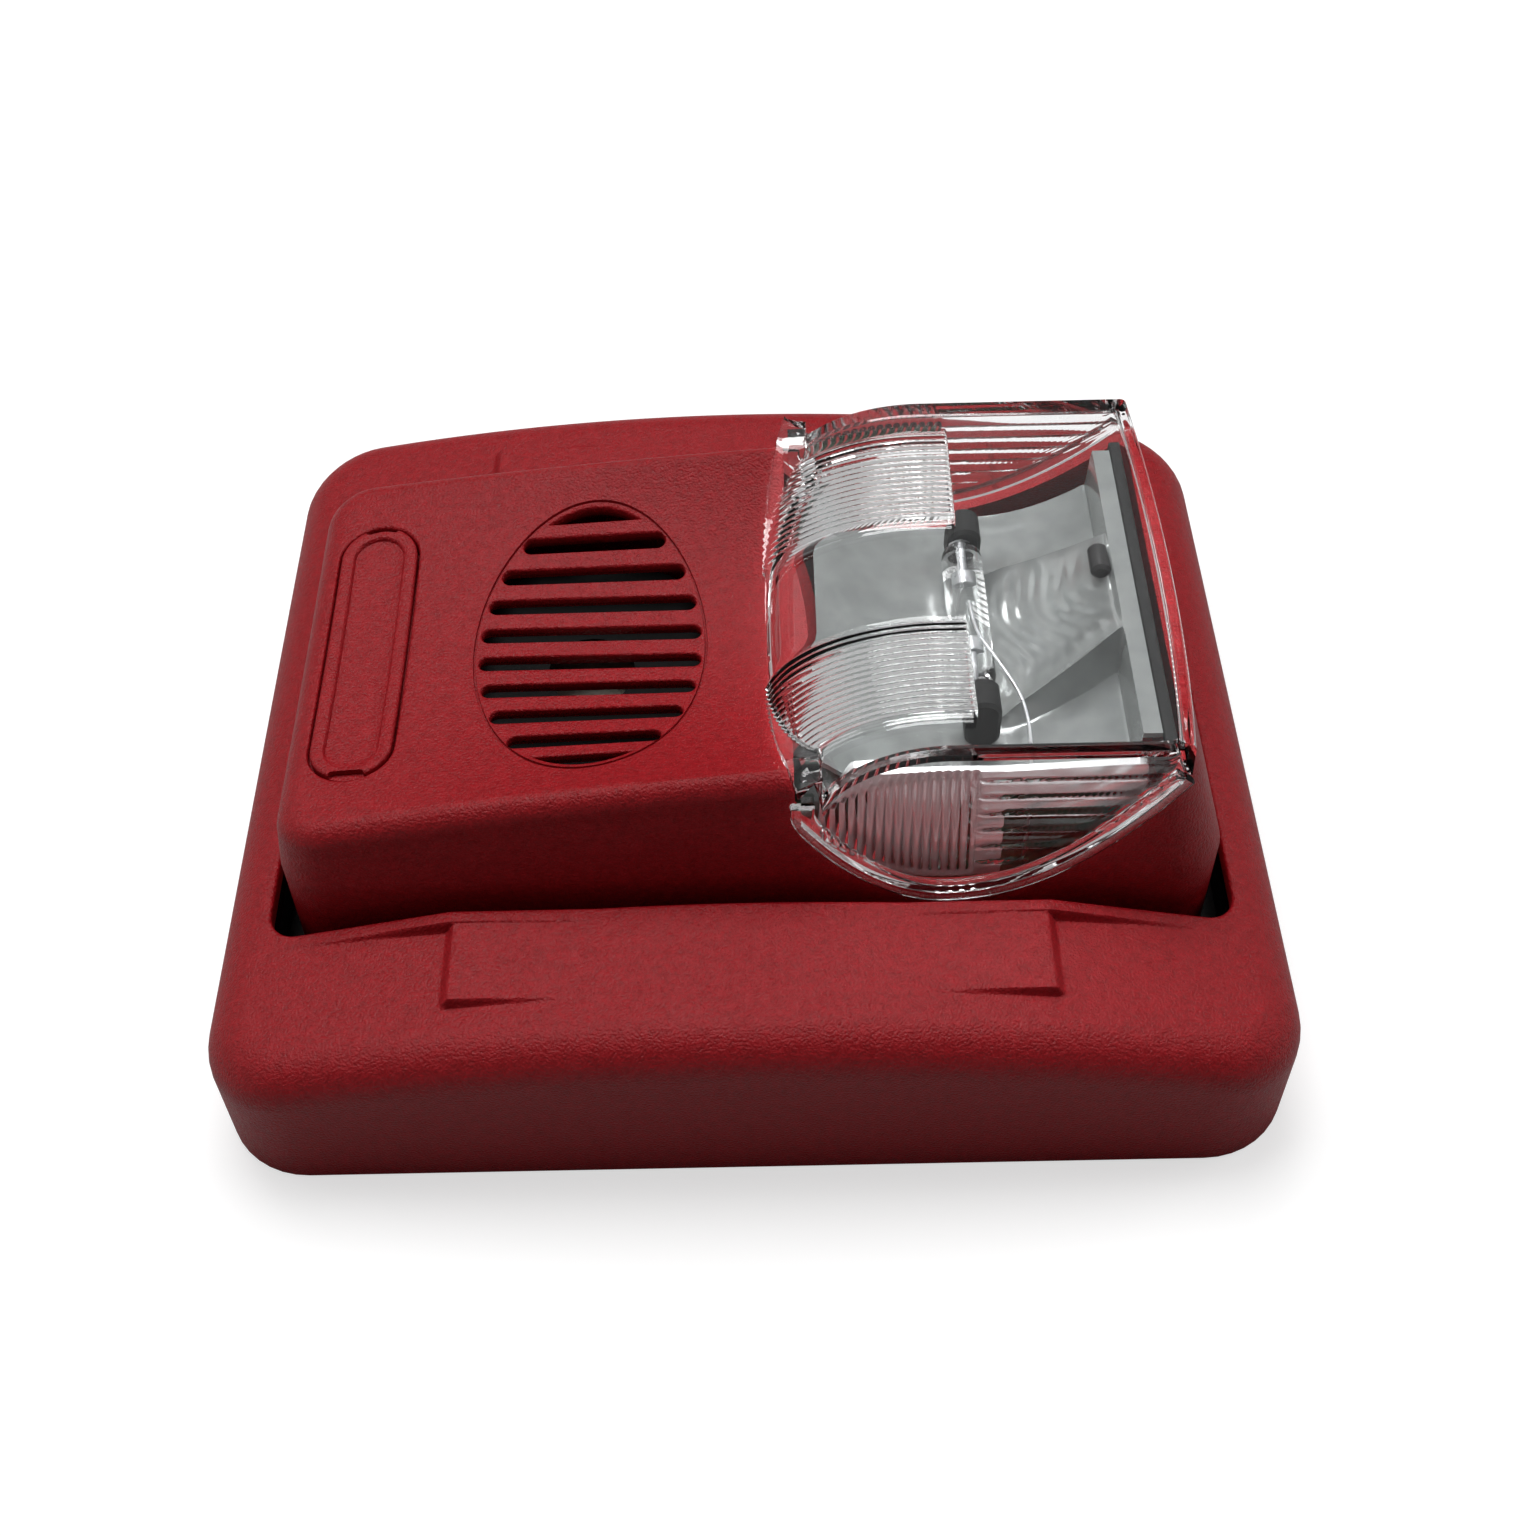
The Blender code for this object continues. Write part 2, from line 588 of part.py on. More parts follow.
def head_block(inset, low, offset):
    """Housing's outer form, drawn in by inset, with its saddle top moved by offset."""
    half_x = head_half_x - inset
    half_y = head_half_y - inset
    count_x = round(HEAD_LENGTH / HEAD_SLICE)
    count_y = round(HEAD_WIDTH / HEAD_SLICE)
    slices_x = spread(-half_x, half_x, count_x + 1)[1:-1]
    slices_y = spread(HEAD_EDGE - head_half_y, head_half_y - HEAD_EDGE, count_y + 1)[1:-1]
    corner = max(HEAD_CORNER - inset, HEAD_WALL)
    edge = max(HEAD_EDGE - inset, HEAD_WALL / 2)
    flat_top = EDGE_LENS
    bm = block(half_x, half_y, low, flat_top, corner, edge, slices_x, slices_y)
    slice_at(bm, (0, 0, LEAN_LOW), (0, 0, 1))
    return shape_head(bm, flat_top, edge, offset)


def notch_outline(grow):
    """Side view of the space that the lens takes out of the housing, grown by a clearance."""
    stations = spread(lens_leg_x - grow, lens_end_x + grow, 2 * LENS_CURVE_STEPS + 1)
    high = 2 * LENS_TOP
    lower = [(x, notch_edge(x) - NOTCH_SLOPE * grow) for x in stations]
    return lower + [(stations[-1], high), (stations[0], high)]


# Trim frame: a crowned rounded block with pads and rim strips, hollowed and opened
frame_cuts = spread(-FRAME_LENGTH / 2, FRAME_LENGTH / 2, FRAME_SLICES + 1)[1:-1]


def crowned(inset, low):
    high = FRAME_MID_HEIGHT - inset
    edge = max(FRAME_EDGE - inset, FRAME_WALL / 2)
    bm = block(
        FRAME_LENGTH / 2 - inset, FRAME_WIDTH / 2 - inset, low, high, FRAME_CORNER - inset, edge, frame_cuts
    )
    for vert in bm.verts:
        if vert.co.z > low + TINY:
            vert.co.z += crown(vert.co.x) - FRAME_MID_HEIGHT
    return bm


trim_frame = place("trim_frame", crowned(0.0, 0.0), red_plastic)
rim_half = FRAME_LENGTH / 2 - RIM_REACH
for side in (-1, 1):
    strip_low = crown(rim_half) - FRAME_WALL
    strip = [
        (-rim_half, crown(rim_half)),
        (-rim_half, strip_low),
        (rim_half, strip_low),
        (rim_half, crown(rim_half)),
        (PAD_LENGTH / 2, pad_top + RIM_RISE),
        (-PAD_LENGTH / 2, pad_top + RIM_RISE),
    ]
    inner, outer = sorted((side * (opening_half_y - RIM_WIDTH), side * (opening_half_y + RIM_WIDTH)))
    combine(trim_frame, "UNION", tool("rim strip", side_prism(strip, inner, outer)))
    inner, outer = sorted((side * (opening_half_y - RIM_WIDTH / 2), side * pad_outer_y))
    pad = box((-PAD_LENGTH / 2, inner, strip_low + FRAME_WALL / 2), (PAD_LENGTH / 2, outer, pad_top))
    pad_edges = [e for e in pad.edges if any(v.co.z > pad_top - TINY for v in e.verts)]
    bmesh.ops.bevel(
        pad, geom=pad_edges, offset=PAD_EDGE, segments=SMALL_EDGE_STEPS, profile=0.5, affect="EDGES"
    )
    combine(trim_frame, "UNION", tool("pad", pad))
frame_hollow = tool("frame hollow", crowned(FRAME_WALL, -FRAME_WALL))
frame_opening = tool(
    "frame opening", block(opening_half_x, opening_half_y, FRAME_WALL, 2 * FRAME_MID_HEIGHT, OPENING_CORNER)
)
combine(trim_frame, "DIFFERENCE", frame_hollow, frame_opening)

# Mounting plate: a shallow tray inside the frame, with a wire window, box screw slots and posts
plate_inset = FRAME_WALL + CLEAR
plate_half_x = FRAME_LENGTH / 2 - plate_inset
plate_half_y = FRAME_WIDTH / 2 - plate_inset
plate_corner = FRAME_CORNER - plate_inset
mounting_plate = place(
    "mounting_plate", block(plate_half_x, plate_half_y, 0.0, PLATE_RIM_HEIGHT, plate_corner), black_plastic
)
tray = block(
    plate_half_x - PLATE_RIM_WALL,
    plate_half_y - PLATE_RIM_WALL,
    PLATE_THICKNESS,
    2 * PLATE_RIM_HEIGHT,
    plate_corner - PLATE_RIM_WALL,
)
window = block(WINDOW_LENGTH / 2, WINDOW_WIDTH / 2, -PLATE_THICKNESS, 2 * PLATE_THICKNESS, WINDOW_CORNER)
combine(mounting_plate, "DIFFERENCE", tool("plate tray", tray), tool("wire window", window))
for end in (-1, 1):
    for y in (-BOX_GANG_SPACING / 2, 0.0, BOX_GANG_SPACING / 2):
        slot = obround(end * BOX_SCREW_SPACING / 2, y, BOX_SLOT_LENGTH, BOX_SLOT_WIDTH, True)
        combine(mounting_plate, "DIFFERENCE", tool("box slot", extruded(slot, 4 * PLATE_THICKNESS)))
post_high = COVER_LOW - CLEAR
for x in (-post_x, post_x):
    for y in (-POST_Y, POST_Y):
        post = cylinder(POST_RADIUS, PLATE_THICKNESS / 2, post_high, x, y)
        pin = cylinder(POST_PIN_RADIUS, PLATE_THICKNESS, post_high + POST_PIN_LENGTH, x, y)
        combine(mounting_plate, "UNION", tool("post", post), tool("post pin", pin))
plate_boss_top = WELL_LOW - CLEAR
plate_boss = cylinder(PLATE_BOSS_RADIUS, PLATE_THICKNESS / 2, plate_boss_top, badge_x, 0.0)
plate_bore = cylinder(HEAD_SCREW_RADIUS + CLEAR, PLATE_THICKNESS, 2 * plate_boss_top, badge_x, 0.0)
combine(mounting_plate, "UNION", tool("screw boss", plate_boss))
combine(mounting_plate, "DIFFERENCE", tool("screw boss bore", plate_bore))

# Front housing: a hollow saddle block with bosses, a screw well, the lens notch, grille and badge pocket
front_housing = place("front_housing", head_block(0.0, head_low, 0.0), red_plastic)
housing_hollow = tool("housing hollow", head_block(HEAD_WALL, head_low - HEAD_WALL, -HEAD_WALL))
combine(front_housing, "DIFFERENCE", housing_hollow)
corners = [(x, y) for x in (-cover_screw_x, cover_screw_x) for y in (-cover_screw_y, cover_screw_y)]
for x, y in corners:
    boss = cylinder(BOSS_RADIUS, head_low, BOSS_TOP, x, y)
    combine(front_housing, "UNION", tool("cover boss", boss))
well = cylinder(WELL_RADIUS, WELL_LOW, TROUGH_FLOOR - HEAD_WALL / 2, badge_x, 0.0)
well_bore = cylinder(WELL_BORE_RADIUS, WELL_LOW + WELL_FLOOR, 2 * TROUGH_FLOOR, badge_x, 0.0)
well_hole = cylinder(HEAD_SCREW_RADIUS + CLEAR, 0.0, TROUGH_FLOOR / 2, badge_x, 0.0)
combine(front_housing, "UNION", tool("screw well", well))
combine(front_housing, "DIFFERENCE", tool("well bore", well_bore), tool("well hole", well_hole))
for x, y in corners:
    bore = cylinder(COVER_SCREW_RADIUS + CLEAR, 0.0, head_low + COVER_SCREW_LENGTH, x, y, BORE_STEPS)
    combine(front_housing, "DIFFERENCE", tool("cover screw bore", bore))
lens_notch = tool("lens notch", side_prism(notch_outline(CLEAR), -HEAD_WIDTH, HEAD_WIDTH))
combine(front_housing, "DIFFERENCE", lens_notch)

half_step = 180 / GRILLE_STEPS
grille_turns = (half_step, 360 - half_step)
grille_outline = arc(grille_x, 0, GRILLE_HALF_X, GRILLE_HALF_Y, *grille_turns, GRILLE_STEPS - 1)
grille_recess = extruded(grille_outline, HEAD_EDGE)
for y in spread(-GRILLE_HALF_Y, GRILLE_HALF_Y, GRILLE_SLICES + 1)[1:-1]:
    slice_at(grille_recess, (0, y, 0), (0, 1, 0))
for vert in grille_recess.verts:
    if vert.co.z > 0:
        vert.co.z = 2 * TROUGH_FLOOR
    else:
        vert.co.z = head_top(vert.co.x, vert.co.y) - GRILLE_RECESS
combine(front_housing, "DIFFERENCE", tool("grille recess", grille_recess))
slots = bmesh.new()
slot_low = TROUGH_FLOOR - 2 * HEAD_EDGE


def add_slot(outline):
    cut = extruded(outline, TROUGH_FLOOR)
    bmesh.ops.translate(cut, vec=(0, 0, slot_low + TROUGH_FLOOR / 2), verts=cut.verts[:])
    mesh = bpy.data.meshes.new("slot")
    cut.to_mesh(mesh)
    cut.free()
    slots.from_mesh(mesh)
    bpy.data.meshes.remove(mesh)


for index in range(SLOT_COUNT):
    y = (index - (SLOT_COUNT - 1) / 2) * SLOT_PITCH
    chord = GRILLE_HALF_X * math.sqrt(1 - (y / GRILLE_HALF_Y) ** 2) - SLOT_MARGIN
    add_slot(obround(grille_x, y, 2 * chord, SLOT_WIDTH, False))
crescent_low = (SLOT_COUNT + 1) / 2 * SLOT_PITCH - SLOT_WIDTH / 2
crescent_scale = 1 - CRESCENT_MARGIN / GRILLE_HALF_X
crescent_start = math.degrees(math.asin(crescent_low / (GRILLE_HALF_Y * crescent_scale)))
for turn in (0, 180):
    add_slot(
        arc(
            grille_x,
            0,
            GRILLE_HALF_X * crescent_scale,
            GRILLE_HALF_Y * crescent_scale,
            turn + crescent_start,
            turn + 180 - crescent_start,
            CRESCENT_STEPS,
        )
    )
combine(front_housing, "DIFFERENCE", tool("grille slots", slots))

# Badge plate: an obround insert draped on the saddle, with a sunk blank field and a pry slot at each end
pocket_floor = TROUGH_FLOOR - BADGE_THICKNESS


def badge_solid(grow, low, offset, high):
    """Obround of the badge, grown by a margin, from low up to the saddle plus offset, or flat at high."""
    outline = obround(badge_x, 0, BADGE_LENGTH + 2 * grow, BADGE_WIDTH + 2 * grow, True)
    bm = extruded(outline, HEAD_EDGE)
    for y in spread(-BADGE_LENGTH / 2, BADGE_LENGTH / 2, BADGE_SLICES + 1)[1:-1]:
        slice_at(bm, (0, y, 0), (0, 1, 0))
    for vert in bm.verts:
        saddle = head_top(vert.co.x, vert.co.y)
        if vert.co.z > 0:
            vert.co.z = high if high else saddle + offset
        else:
            vert.co.z = low if low else saddle - offset
    return bm


badge_pocket = badge_solid(CLEAR, pocket_floor, 0.0, 2 * TROUGH_FLOOR)
combine(front_housing, "DIFFERENCE", tool("badge pocket", badge_pocket))
badge_plate = place("badge_plate", badge_solid(0.0, pocket_floor + CLEAR, BADGE_PROUD, 0.0), red_plastic)
field_depth = BADGE_FIELD_DEPTH - BADGE_PROUD
badge_field = badge_solid(-BADGE_RIM, 0.0, field_depth, 2 * TROUGH_FLOOR)
combine(badge_plate, "DIFFERENCE", tool("badge field", badge_field))
for end in (-1, 1):
    pry_y = end * (BADGE_LENGTH - PRY_WIDTH) / 2
    pry = box(
        (badge_x - PRY_LENGTH / 2, pry_y - PRY_WIDTH, pocket_floor + BADGE_THICKNESS),
        (badge_x + PRY_LENGTH / 2, pry_y + PRY_WIDTH / 3, 2 * TROUGH_FLOOR),
    )
    combine(badge_plate, "DIFFERENCE", tool("pry slot", pry))

# Strobe lens: a visor shell over the notch, with a border, a lip, prism blocks and ribbed sides
front_centre_x = lens_front_x + LENS_FRONT_LENGTH
front_centre_z = LENS_TOP - LENS_FRONT_RISE


def front_point(angle, offset):
    """Point on the visor's curved front, offset out of it; 180 degrees is its foot and 90 its top."""
    turn = math.radians(angle)
    x = front_centre_x + (LENS_FRONT_LENGTH + offset) * math.cos(turn)
    z = front_centre_z + (LENS_FRONT_RISE + offset) * math.sin(turn)
    return x, z


def visor(inset, lower):
    """Lens form drawn in by inset above a lower outline, leaned at its sides and bowed at its front."""
    front = [front_point(angle, -inset) for angle in spread(180, 90, LENS_CURVE_STEPS + 1)]
    round_x = lens_end_x - inset - LENS_TOP_EDGE
    round_z = LENS_TOP - inset - LENS_TOP_EDGE
    back = arc(round_x, round_z, LENS_TOP_EDGE, LENS_TOP_EDGE, 90, 0, EDGE_STEPS)
    half = lens_half(LENS_TOP)
    bm = side_prism(front + back + lower, -half, half)
    for y in spread(-half, half, LENS_BOW_SLICES + 1)[1:-1]:
        slice_at(bm, (0, y, 0), (0, 1, 0))
    for vert in bm.verts:
        x, y, z = vert.co
        vert.co.x = x + lens_bow(x, y)
        vert.co.z = z + lens_lift(y, z)
        vert.co.y = y * (lens_half(vert.co.z) - inset) / half
    return bm


lower_stations = spread(lens_end_x, lens_leg_x, 2 * LENS_CURVE_STEPS + 1)
side_edge = [(x, notch_edge(x)) for x in lower_stations]
foot_z = TROUGH_FLOOR - HEAD_WALL / 2
outer_lower = side_edge + [(lens_leg_x, foot_z), (lens_front_x, foot_z)]
strobe_lens = place("strobe_lens", visor(0.0, outer_lower), clear_plastic)
well_depth = LENS_LOW - HEAD_EDGE
inner_lower = [(lens_end_x - LENS_WALL, well_depth), (lens_front_x + LENS_WALL, well_depth)]
combine(strobe_lens, "DIFFERENCE", tool("lens hollow", visor(LENS_WALL, inner_lower)))
saddle_seat = tool("lens seat", head_block(-CLEAR, head_low, CLEAR))
notch_space = side_prism(notch_outline(0.0), -HEAD_WIDTH, HEAD_WIDTH)
combine(saddle_seat, "DIFFERENCE", tool("notch space", notch_space))
prism_seat = tool("prism seat", head_block(-CLEAR, head_low, BORDER_THICKNESS))

border_half = (head_half_y - HEAD_EDGE) * side_draw(lens_front_x) - CLEAR
border_steps = spread(-border_half, border_half, LENS_BOW_SLICES + 1)
border_start = lens_front_x - BORDER_WIDTH
border_reach = BORDER_WIDTH + LENS_BOW
border_outer = [(border_start + border_reach * (y / border_half) ** BORDER_SWEEP, y) for y in border_steps]
border_inner = [(lens_leg_x + LENS_WALL, border_half), (lens_leg_x + LENS_WALL, -border_half)]
border = extruded(border_outer + border_inner, HEAD_EDGE)
for y in border_steps[1:-1]:
    slice_at(border, (0, y, 0), (0, 1, 0))
for vert in border.verts:
    lift = BORDER_THICKNESS if vert.co.z > 0 else -CLEAR
    vert.co.z = head_top(vert.co.x, vert.co.y) + CLEAR + lift
combine(strobe_lens, "UNION", tool("lens border", border))
combine(strobe_lens, "DIFFERENCE", saddle_seat)


def edge_band(low, high, foot_reach, end_reach):
    """Strip along the lens's side edge, from low under it to high above it."""
    stations = spread(lens_leg_x - foot_reach, lens_end_x + end_reach, 2 * LENS_CURVE_STEPS + 1)
    inner = spread(lens_end_x - high, lens_leg_x + high, 2 * LENS_CURVE_STEPS + 1)
    lower = [(x, notch_edge(x) - low) for x in stations]
    upper = [(x, notch_edge(x) + BAND_SLOPE * high) for x in inner]
    return lower + upper


for side in (-1, 1):
    # The lip leans with the wall that it covers round the notch
    lip = side_prism(edge_band(RIM_LIP, RIM_BAND, -RIM_FOOT, CLEAR / 2), 0.0, RIM_THICKNESS)
    for vert in lip.verts:
        vert.co.y = side * (vert.co.y + wall_line(vert.co.z) + CLEAR)
    combine(strobe_lens, "UNION", tool("lens lip", lip))

    # Ribbed side: a comb of ridges on the leaning side, kept inside its outline
    pitch = (prism_end_x - side_rib_start) / SIDE_RIBS
    comb = [(prism_end_x, -LENS_WALL / 2), (side_rib_start, -LENS_WALL / 2)]
    for index in range(SIDE_RIBS):
        start = side_rib_start + index * pitch
        comb += [(start, TINY), (start + pitch / 2, SIDE_RIB_DEPTH)]
    comb.append((prism_end_x, TINY))
    ribs = extruded(comb, 2 * LENS_TOP)
    for vert in ribs.verts:
        z = LENS_TOP if vert.co.z > 0 else LENS_LOW
        vert.co.y = side * (vert.co.y + lens_half(z))
        vert.co.z = z
    rib_stations = spread(prism_end_x + pitch, side_rib_start - pitch, LENS_CURVE_STEPS + 1)
    panel = [(x, notch_edge(x) + SIDE_RIB_MARGIN) for x in rib_stations]
    panel_angles = spread(SIDE_PANEL_ANGLE, 90, SIDE_PANEL_STEPS + 1)
    panel += [front_point(angle, -SIDE_RIB_MARGIN) for angle in panel_angles]
    panel.append((prism_end_x + pitch, LENS_TOP - SIDE_RIB_MARGIN))
    rib_tool = tool("side ribs", ribs)
    combine(rib_tool, "INTERSECT", tool("side panel", side_prism(panel, -HEAD_WIDTH, HEAD_WIDTH)))
    combine(strobe_lens, "UNION", rib_tool)

    # Prism block: saw-tooth ridges carried round the curved front
    path = spread(PRISM_FOOT_ANGLE, 90, LENS_CURVE_STEPS + 1)
    width = (PRISM_OUTER_Y - PRISM_INNER_Y) / PRISM_RIBS
    saw = [(PRISM_INNER_Y, -PRISM_BASE)]
    for index in range(PRISM_RIBS):
        start = PRISM_INNER_Y + index * width
        saw += [(start, PRISM_BASE), (start + width / 2, PRISM_HEIGHT)]
    saw += [(PRISM_OUTER_Y, PRISM_BASE), (PRISM_OUTER_Y, -PRISM_BASE)]
    prism = bmesh.new()
    rings = []
    for angle in path + [None]:
        ring = []
        for y, height in saw:
            if angle is None:
                x, z = prism_end_x, LENS_TOP + height
            else:
                x, z = front_point(angle, height)
            ring.append(prism.verts.new((x + lens_bow(x, y), side * y, z + lens_lift(y, z))))
        rings.append(ring)
    for ring, following in zip(rings, rings[1:]):
        for index, vert in enumerate(ring):
            after = (index + 1) % len(ring)
            prism.faces.new((vert, ring[after], following[after], following[index]))
    prism.faces.new(rings[0])
    prism.faces.new(rings[-1])
    prism_tool = tool("prism block", prism)
    combine(prism_tool, "DIFFERENCE", prism_seat)
    combine(strobe_lens, "UNION", prism_tool)

end_pitch = 2 * END_RIB_HALF / END_RIBS
end_comb = [(lens_end_x - LENS_WALL / 2, END_RIB_HALF), (lens_end_x - LENS_WALL / 2, -END_RIB_HALF)]
for index in range(END_RIBS):
    start = -END_RIB_HALF + index * end_pitch
    end_comb += [
        (lens_end_x - LENS_WALL - TINY, start),
        (lens_end_x - LENS_WALL - END_RIB_DEPTH, start + end_pitch / 2),
    ]
end_comb.append((lens_end_x - LENS_WALL - TINY, END_RIB_HALF))
end_rib_high = LENS_TOP - LENS_WALL / 2
end_ribs = extruded(end_comb, end_rib_high - END_RIB_LOW)
bmesh.ops.translate(end_ribs, vec=(0, 0, (end_rib_high + END_RIB_LOW) / 2), verts=end_ribs.verts[:])
combine(strobe_lens, "UNION", tool("end ribs", end_ribs))

# Reflector: a mirror skin with curved banks and ridges, on four legs
reflector_count_x = round((reflector_end_x - reflector_start_x) / REFLECTOR_GRID)
reflector_count_y = round(2 * reflector_half_y / REFLECTOR_GRID)
mirror = bmesh.new()
bmesh.ops.create_grid(mirror, x_segments=reflector_count_x, y_segments=reflector_count_y, size=1.0)
reflector_mid_x = (reflector_start_x + reflector_end_x) / 2
for vert in mirror.verts:
    x = reflector_mid_x + vert.co.x * (reflector_end_x - reflector_start_x) / 2
    y = vert.co.y * reflector_half_y
    vert.co = (x, y, reflector_height(x, y))
reflector = place("reflector", mirror, mirror_film)
skin = reflector.modifiers.new("skin", "SOLIDIFY")
skin.thickness = REFLECTOR_SKIN
skin.offset = -1.0
for x in (reflector_start_x + REFLECTOR_LEG_INSET, reflector_end_x - REFLECTOR_LEG_INSET):
    for side in (-1, 1):
        y = side * (reflector_half_y - REFLECTOR_LEG_INSET)
        leg_top = reflector_height(x, y) - REFLECTOR_SKIN / 2
        leg = cylinder(REFLECTOR_LEG / 2, board_seat, leg_top, x, y, BORE_STEPS)
        combine(reflector, "UNION", tool("reflector leg", leg))

# Flash tube, its metal ends and the rubber holders that stand on the mirror
lay_across = Matrix.Translation((tube_x, 0, TUBE_Z)) @ Matrix.Rotation(math.radians(90), 4, "X")


def across(radius, low_y, high_y):
    """Cylinder along Y on the tube's axis."""
    bm = cylinder(radius, -high_y, -low_y, 0, 0)
    bmesh.ops.transform(bm, matrix=lay_across, verts=bm.verts[:])
    return bm


place("flash_tube", across(TUBE_RADIUS, -TUBE_LENGTH / 2, TUBE_LENGTH / 2), clear_plastic)
for side, label in ((-1, "near"), (1, "far")):
    cap_start = TUBE_LENGTH / 2 + CLEAR
    cap_end = cap_start + TUBE_CAP_LENGTH
    low_y, high_y = sorted((side * cap_start, side * cap_end))
    place(f"tube_cap_{label}", across(TUBE_CAP_RADIUS, low_y, high_y), steel)
    grommet_y = side * (cap_start + CLEAR)
    low_y, high_y = sorted((grommet_y, grommet_y + side * GROMMET_LENGTH))
    grommet_low = REFLECTOR_FLOOR + CLEAR
    grommet = box(
        (tube_x - GROMMET_WIDTH / 2, low_y, grommet_low),
        (tube_x + GROMMET_WIDTH / 2, high_y, TUBE_Z + GROMMET_ABOVE),
    )
    holder = place(f"tube_grommet_{label}", grommet, black_rubber)
    cap_bore = across(TUBE_CAP_RADIUS + CLEAR, -FRAME_WIDTH, FRAME_WIDTH)
    combine(holder, "DIFFERENCE", tool("cap bore", cap_bore))

# Trigger wire: from the top of the tube over the near side of the mirror to the board
wire_top = TUBE_Z + TUBE_RADIUS + CLEAR + TRIGGER_WIRE_RADIUS
wire_side = -(reflector_half_y + CLEAR + 2 * TRIGGER_WIRE_RADIUS)
wire_x = tube_x + GROMMET_WIDTH / 2 + TUBE_RADIUS
wire_route = [
    Vector((tube_x, 0.0, wire_top)),
    Vector((tube_x, -TUBE_LENGTH / 4, wire_top)),
    Vector((wire_x, -TUBE_LENGTH / 2, wire_top + TRIGGER_WIRE_RADIUS)),
    Vector((wire_x, wire_side, TUBE_Z)),
    Vector((wire_x, wire_side, board_seat + TRIGGER_WIRE_RADIUS)),
]
wire_curve = bpy.data.curves.new("trigger wire", "CURVE")
wire_curve.dimensions = "3D"
wire_curve.bevel_depth = TRIGGER_WIRE_RADIUS
wire_curve.bevel_resolution = 1
wire_curve.use_fill_caps = True
wire_line = wire_curve.splines.new("POLY")
wire_line.points.add(len(wire_route) - 1)
for point, place_at in zip(wire_line.points, wire_route):
    point.co = (*place_at, 1.0)
place("trigger_wire", curve_solid(wire_curve), copper)

# Rear cover: closes the head from behind, with a lip inside the housing and bosses for the board
rear_cover = place(
    "rear_cover",
    block(head_half_x, head_half_y, COVER_LOW, COVER_LOW + COVER_THICKNESS, HEAD_CORNER),
    red_plastic,
)
lip_inset = HEAD_WALL + CLEAR
lip_half_x = head_half_x - lip_inset
lip_half_y = head_half_y - lip_inset
cover_top = COVER_LOW + COVER_THICKNESS
lip_low = COVER_LOW + COVER_THICKNESS / 2
lip_high = cover_top + COVER_LIP_HEIGHT
lip_corner = max(HEAD_CORNER - lip_inset, HEAD_WALL)
cover_lip = tool("cover lip", block(lip_half_x, lip_half_y, lip_low, lip_high, lip_corner))
lip_space = block(
    lip_half_x - COVER_LIP_WALL,
    lip_half_y - COVER_LIP_WALL,
    lip_low - COVER_THICKNESS,
    2 * lip_high,
    HEAD_WALL,
)
combine(cover_lip, "DIFFERENCE", tool("lip space", lip_space))
for x, y in corners:
    gap = BOSS_RADIUS + COVER_CUT_GAP
    combine(cover_lip, "DIFFERENCE", tool("boss gap", cylinder(gap, 0.0, 2 * lip_high, x, y)))
combine(rear_cover, "UNION", cover_lip)
board_boss_top = BOARD_LOW - CLEAR
for x in board_screw_places:
    for y in (-board_screw_y, board_screw_y):
        boss = cylinder(BOARD_BOSS_RADIUS, lip_low, board_boss_top, x, y)
        combine(rear_cover, "UNION", tool("board boss", boss))
for x in board_screw_places:
    for y in (-board_screw_y, board_screw_y):
        bore = cylinder(BOARD_SCREW_RADIUS + CLEAR, cover_top, 2 * board_top, x, y, BORE_STEPS)
        combine(rear_cover, "DIFFERENCE", tool("board boss bore", bore))
for x, y in corners:
    hole = cylinder(COVER_SCREW_RADIUS + CLEAR, 0.0, 2 * lip_high, x, y, BORE_STEPS)
    combine(rear_cover, "DIFFERENCE", tool("cover screw hole", hole))
for x in (-post_x, post_x):
    for y in (-POST_Y, POST_Y):
        hole = cylinder(POST_PIN_RADIUS + CLEAR, 0.0, 2 * lip_high, x, y)
        combine(rear_cover, "DIFFERENCE", tool("post pin hole", hole))
boss_hole = cylinder(WELL_RADIUS + COVER_CUT_GAP, 0.0, 2 * lip_high, badge_x, 0.0)
combine(rear_cover, "DIFFERENCE", tool("screw boss hole", boss_hole))

# Circuit board on the cover's bosses
board_half_x = (board_end_x - board_start_x) / 2
board = block(board_half_x, board_half_y, BOARD_LOW, board_top, BOARD_CORNER)
bmesh.ops.translate(board, vec=(board_mid_x, 0, 0), verts=board.verts[:])
circuit_board = place("circuit_board", board, board_green)
for x in board_screw_places:
    for y in (-board_screw_y, board_screw_y):
        hole = cylinder(BOARD_SCREW_RADIUS + CLEAR, 0.0, 2 * board_top, x, y, BORE_STEPS)
        combine(circuit_board, "DIFFERENCE", tool("board hole", hole))


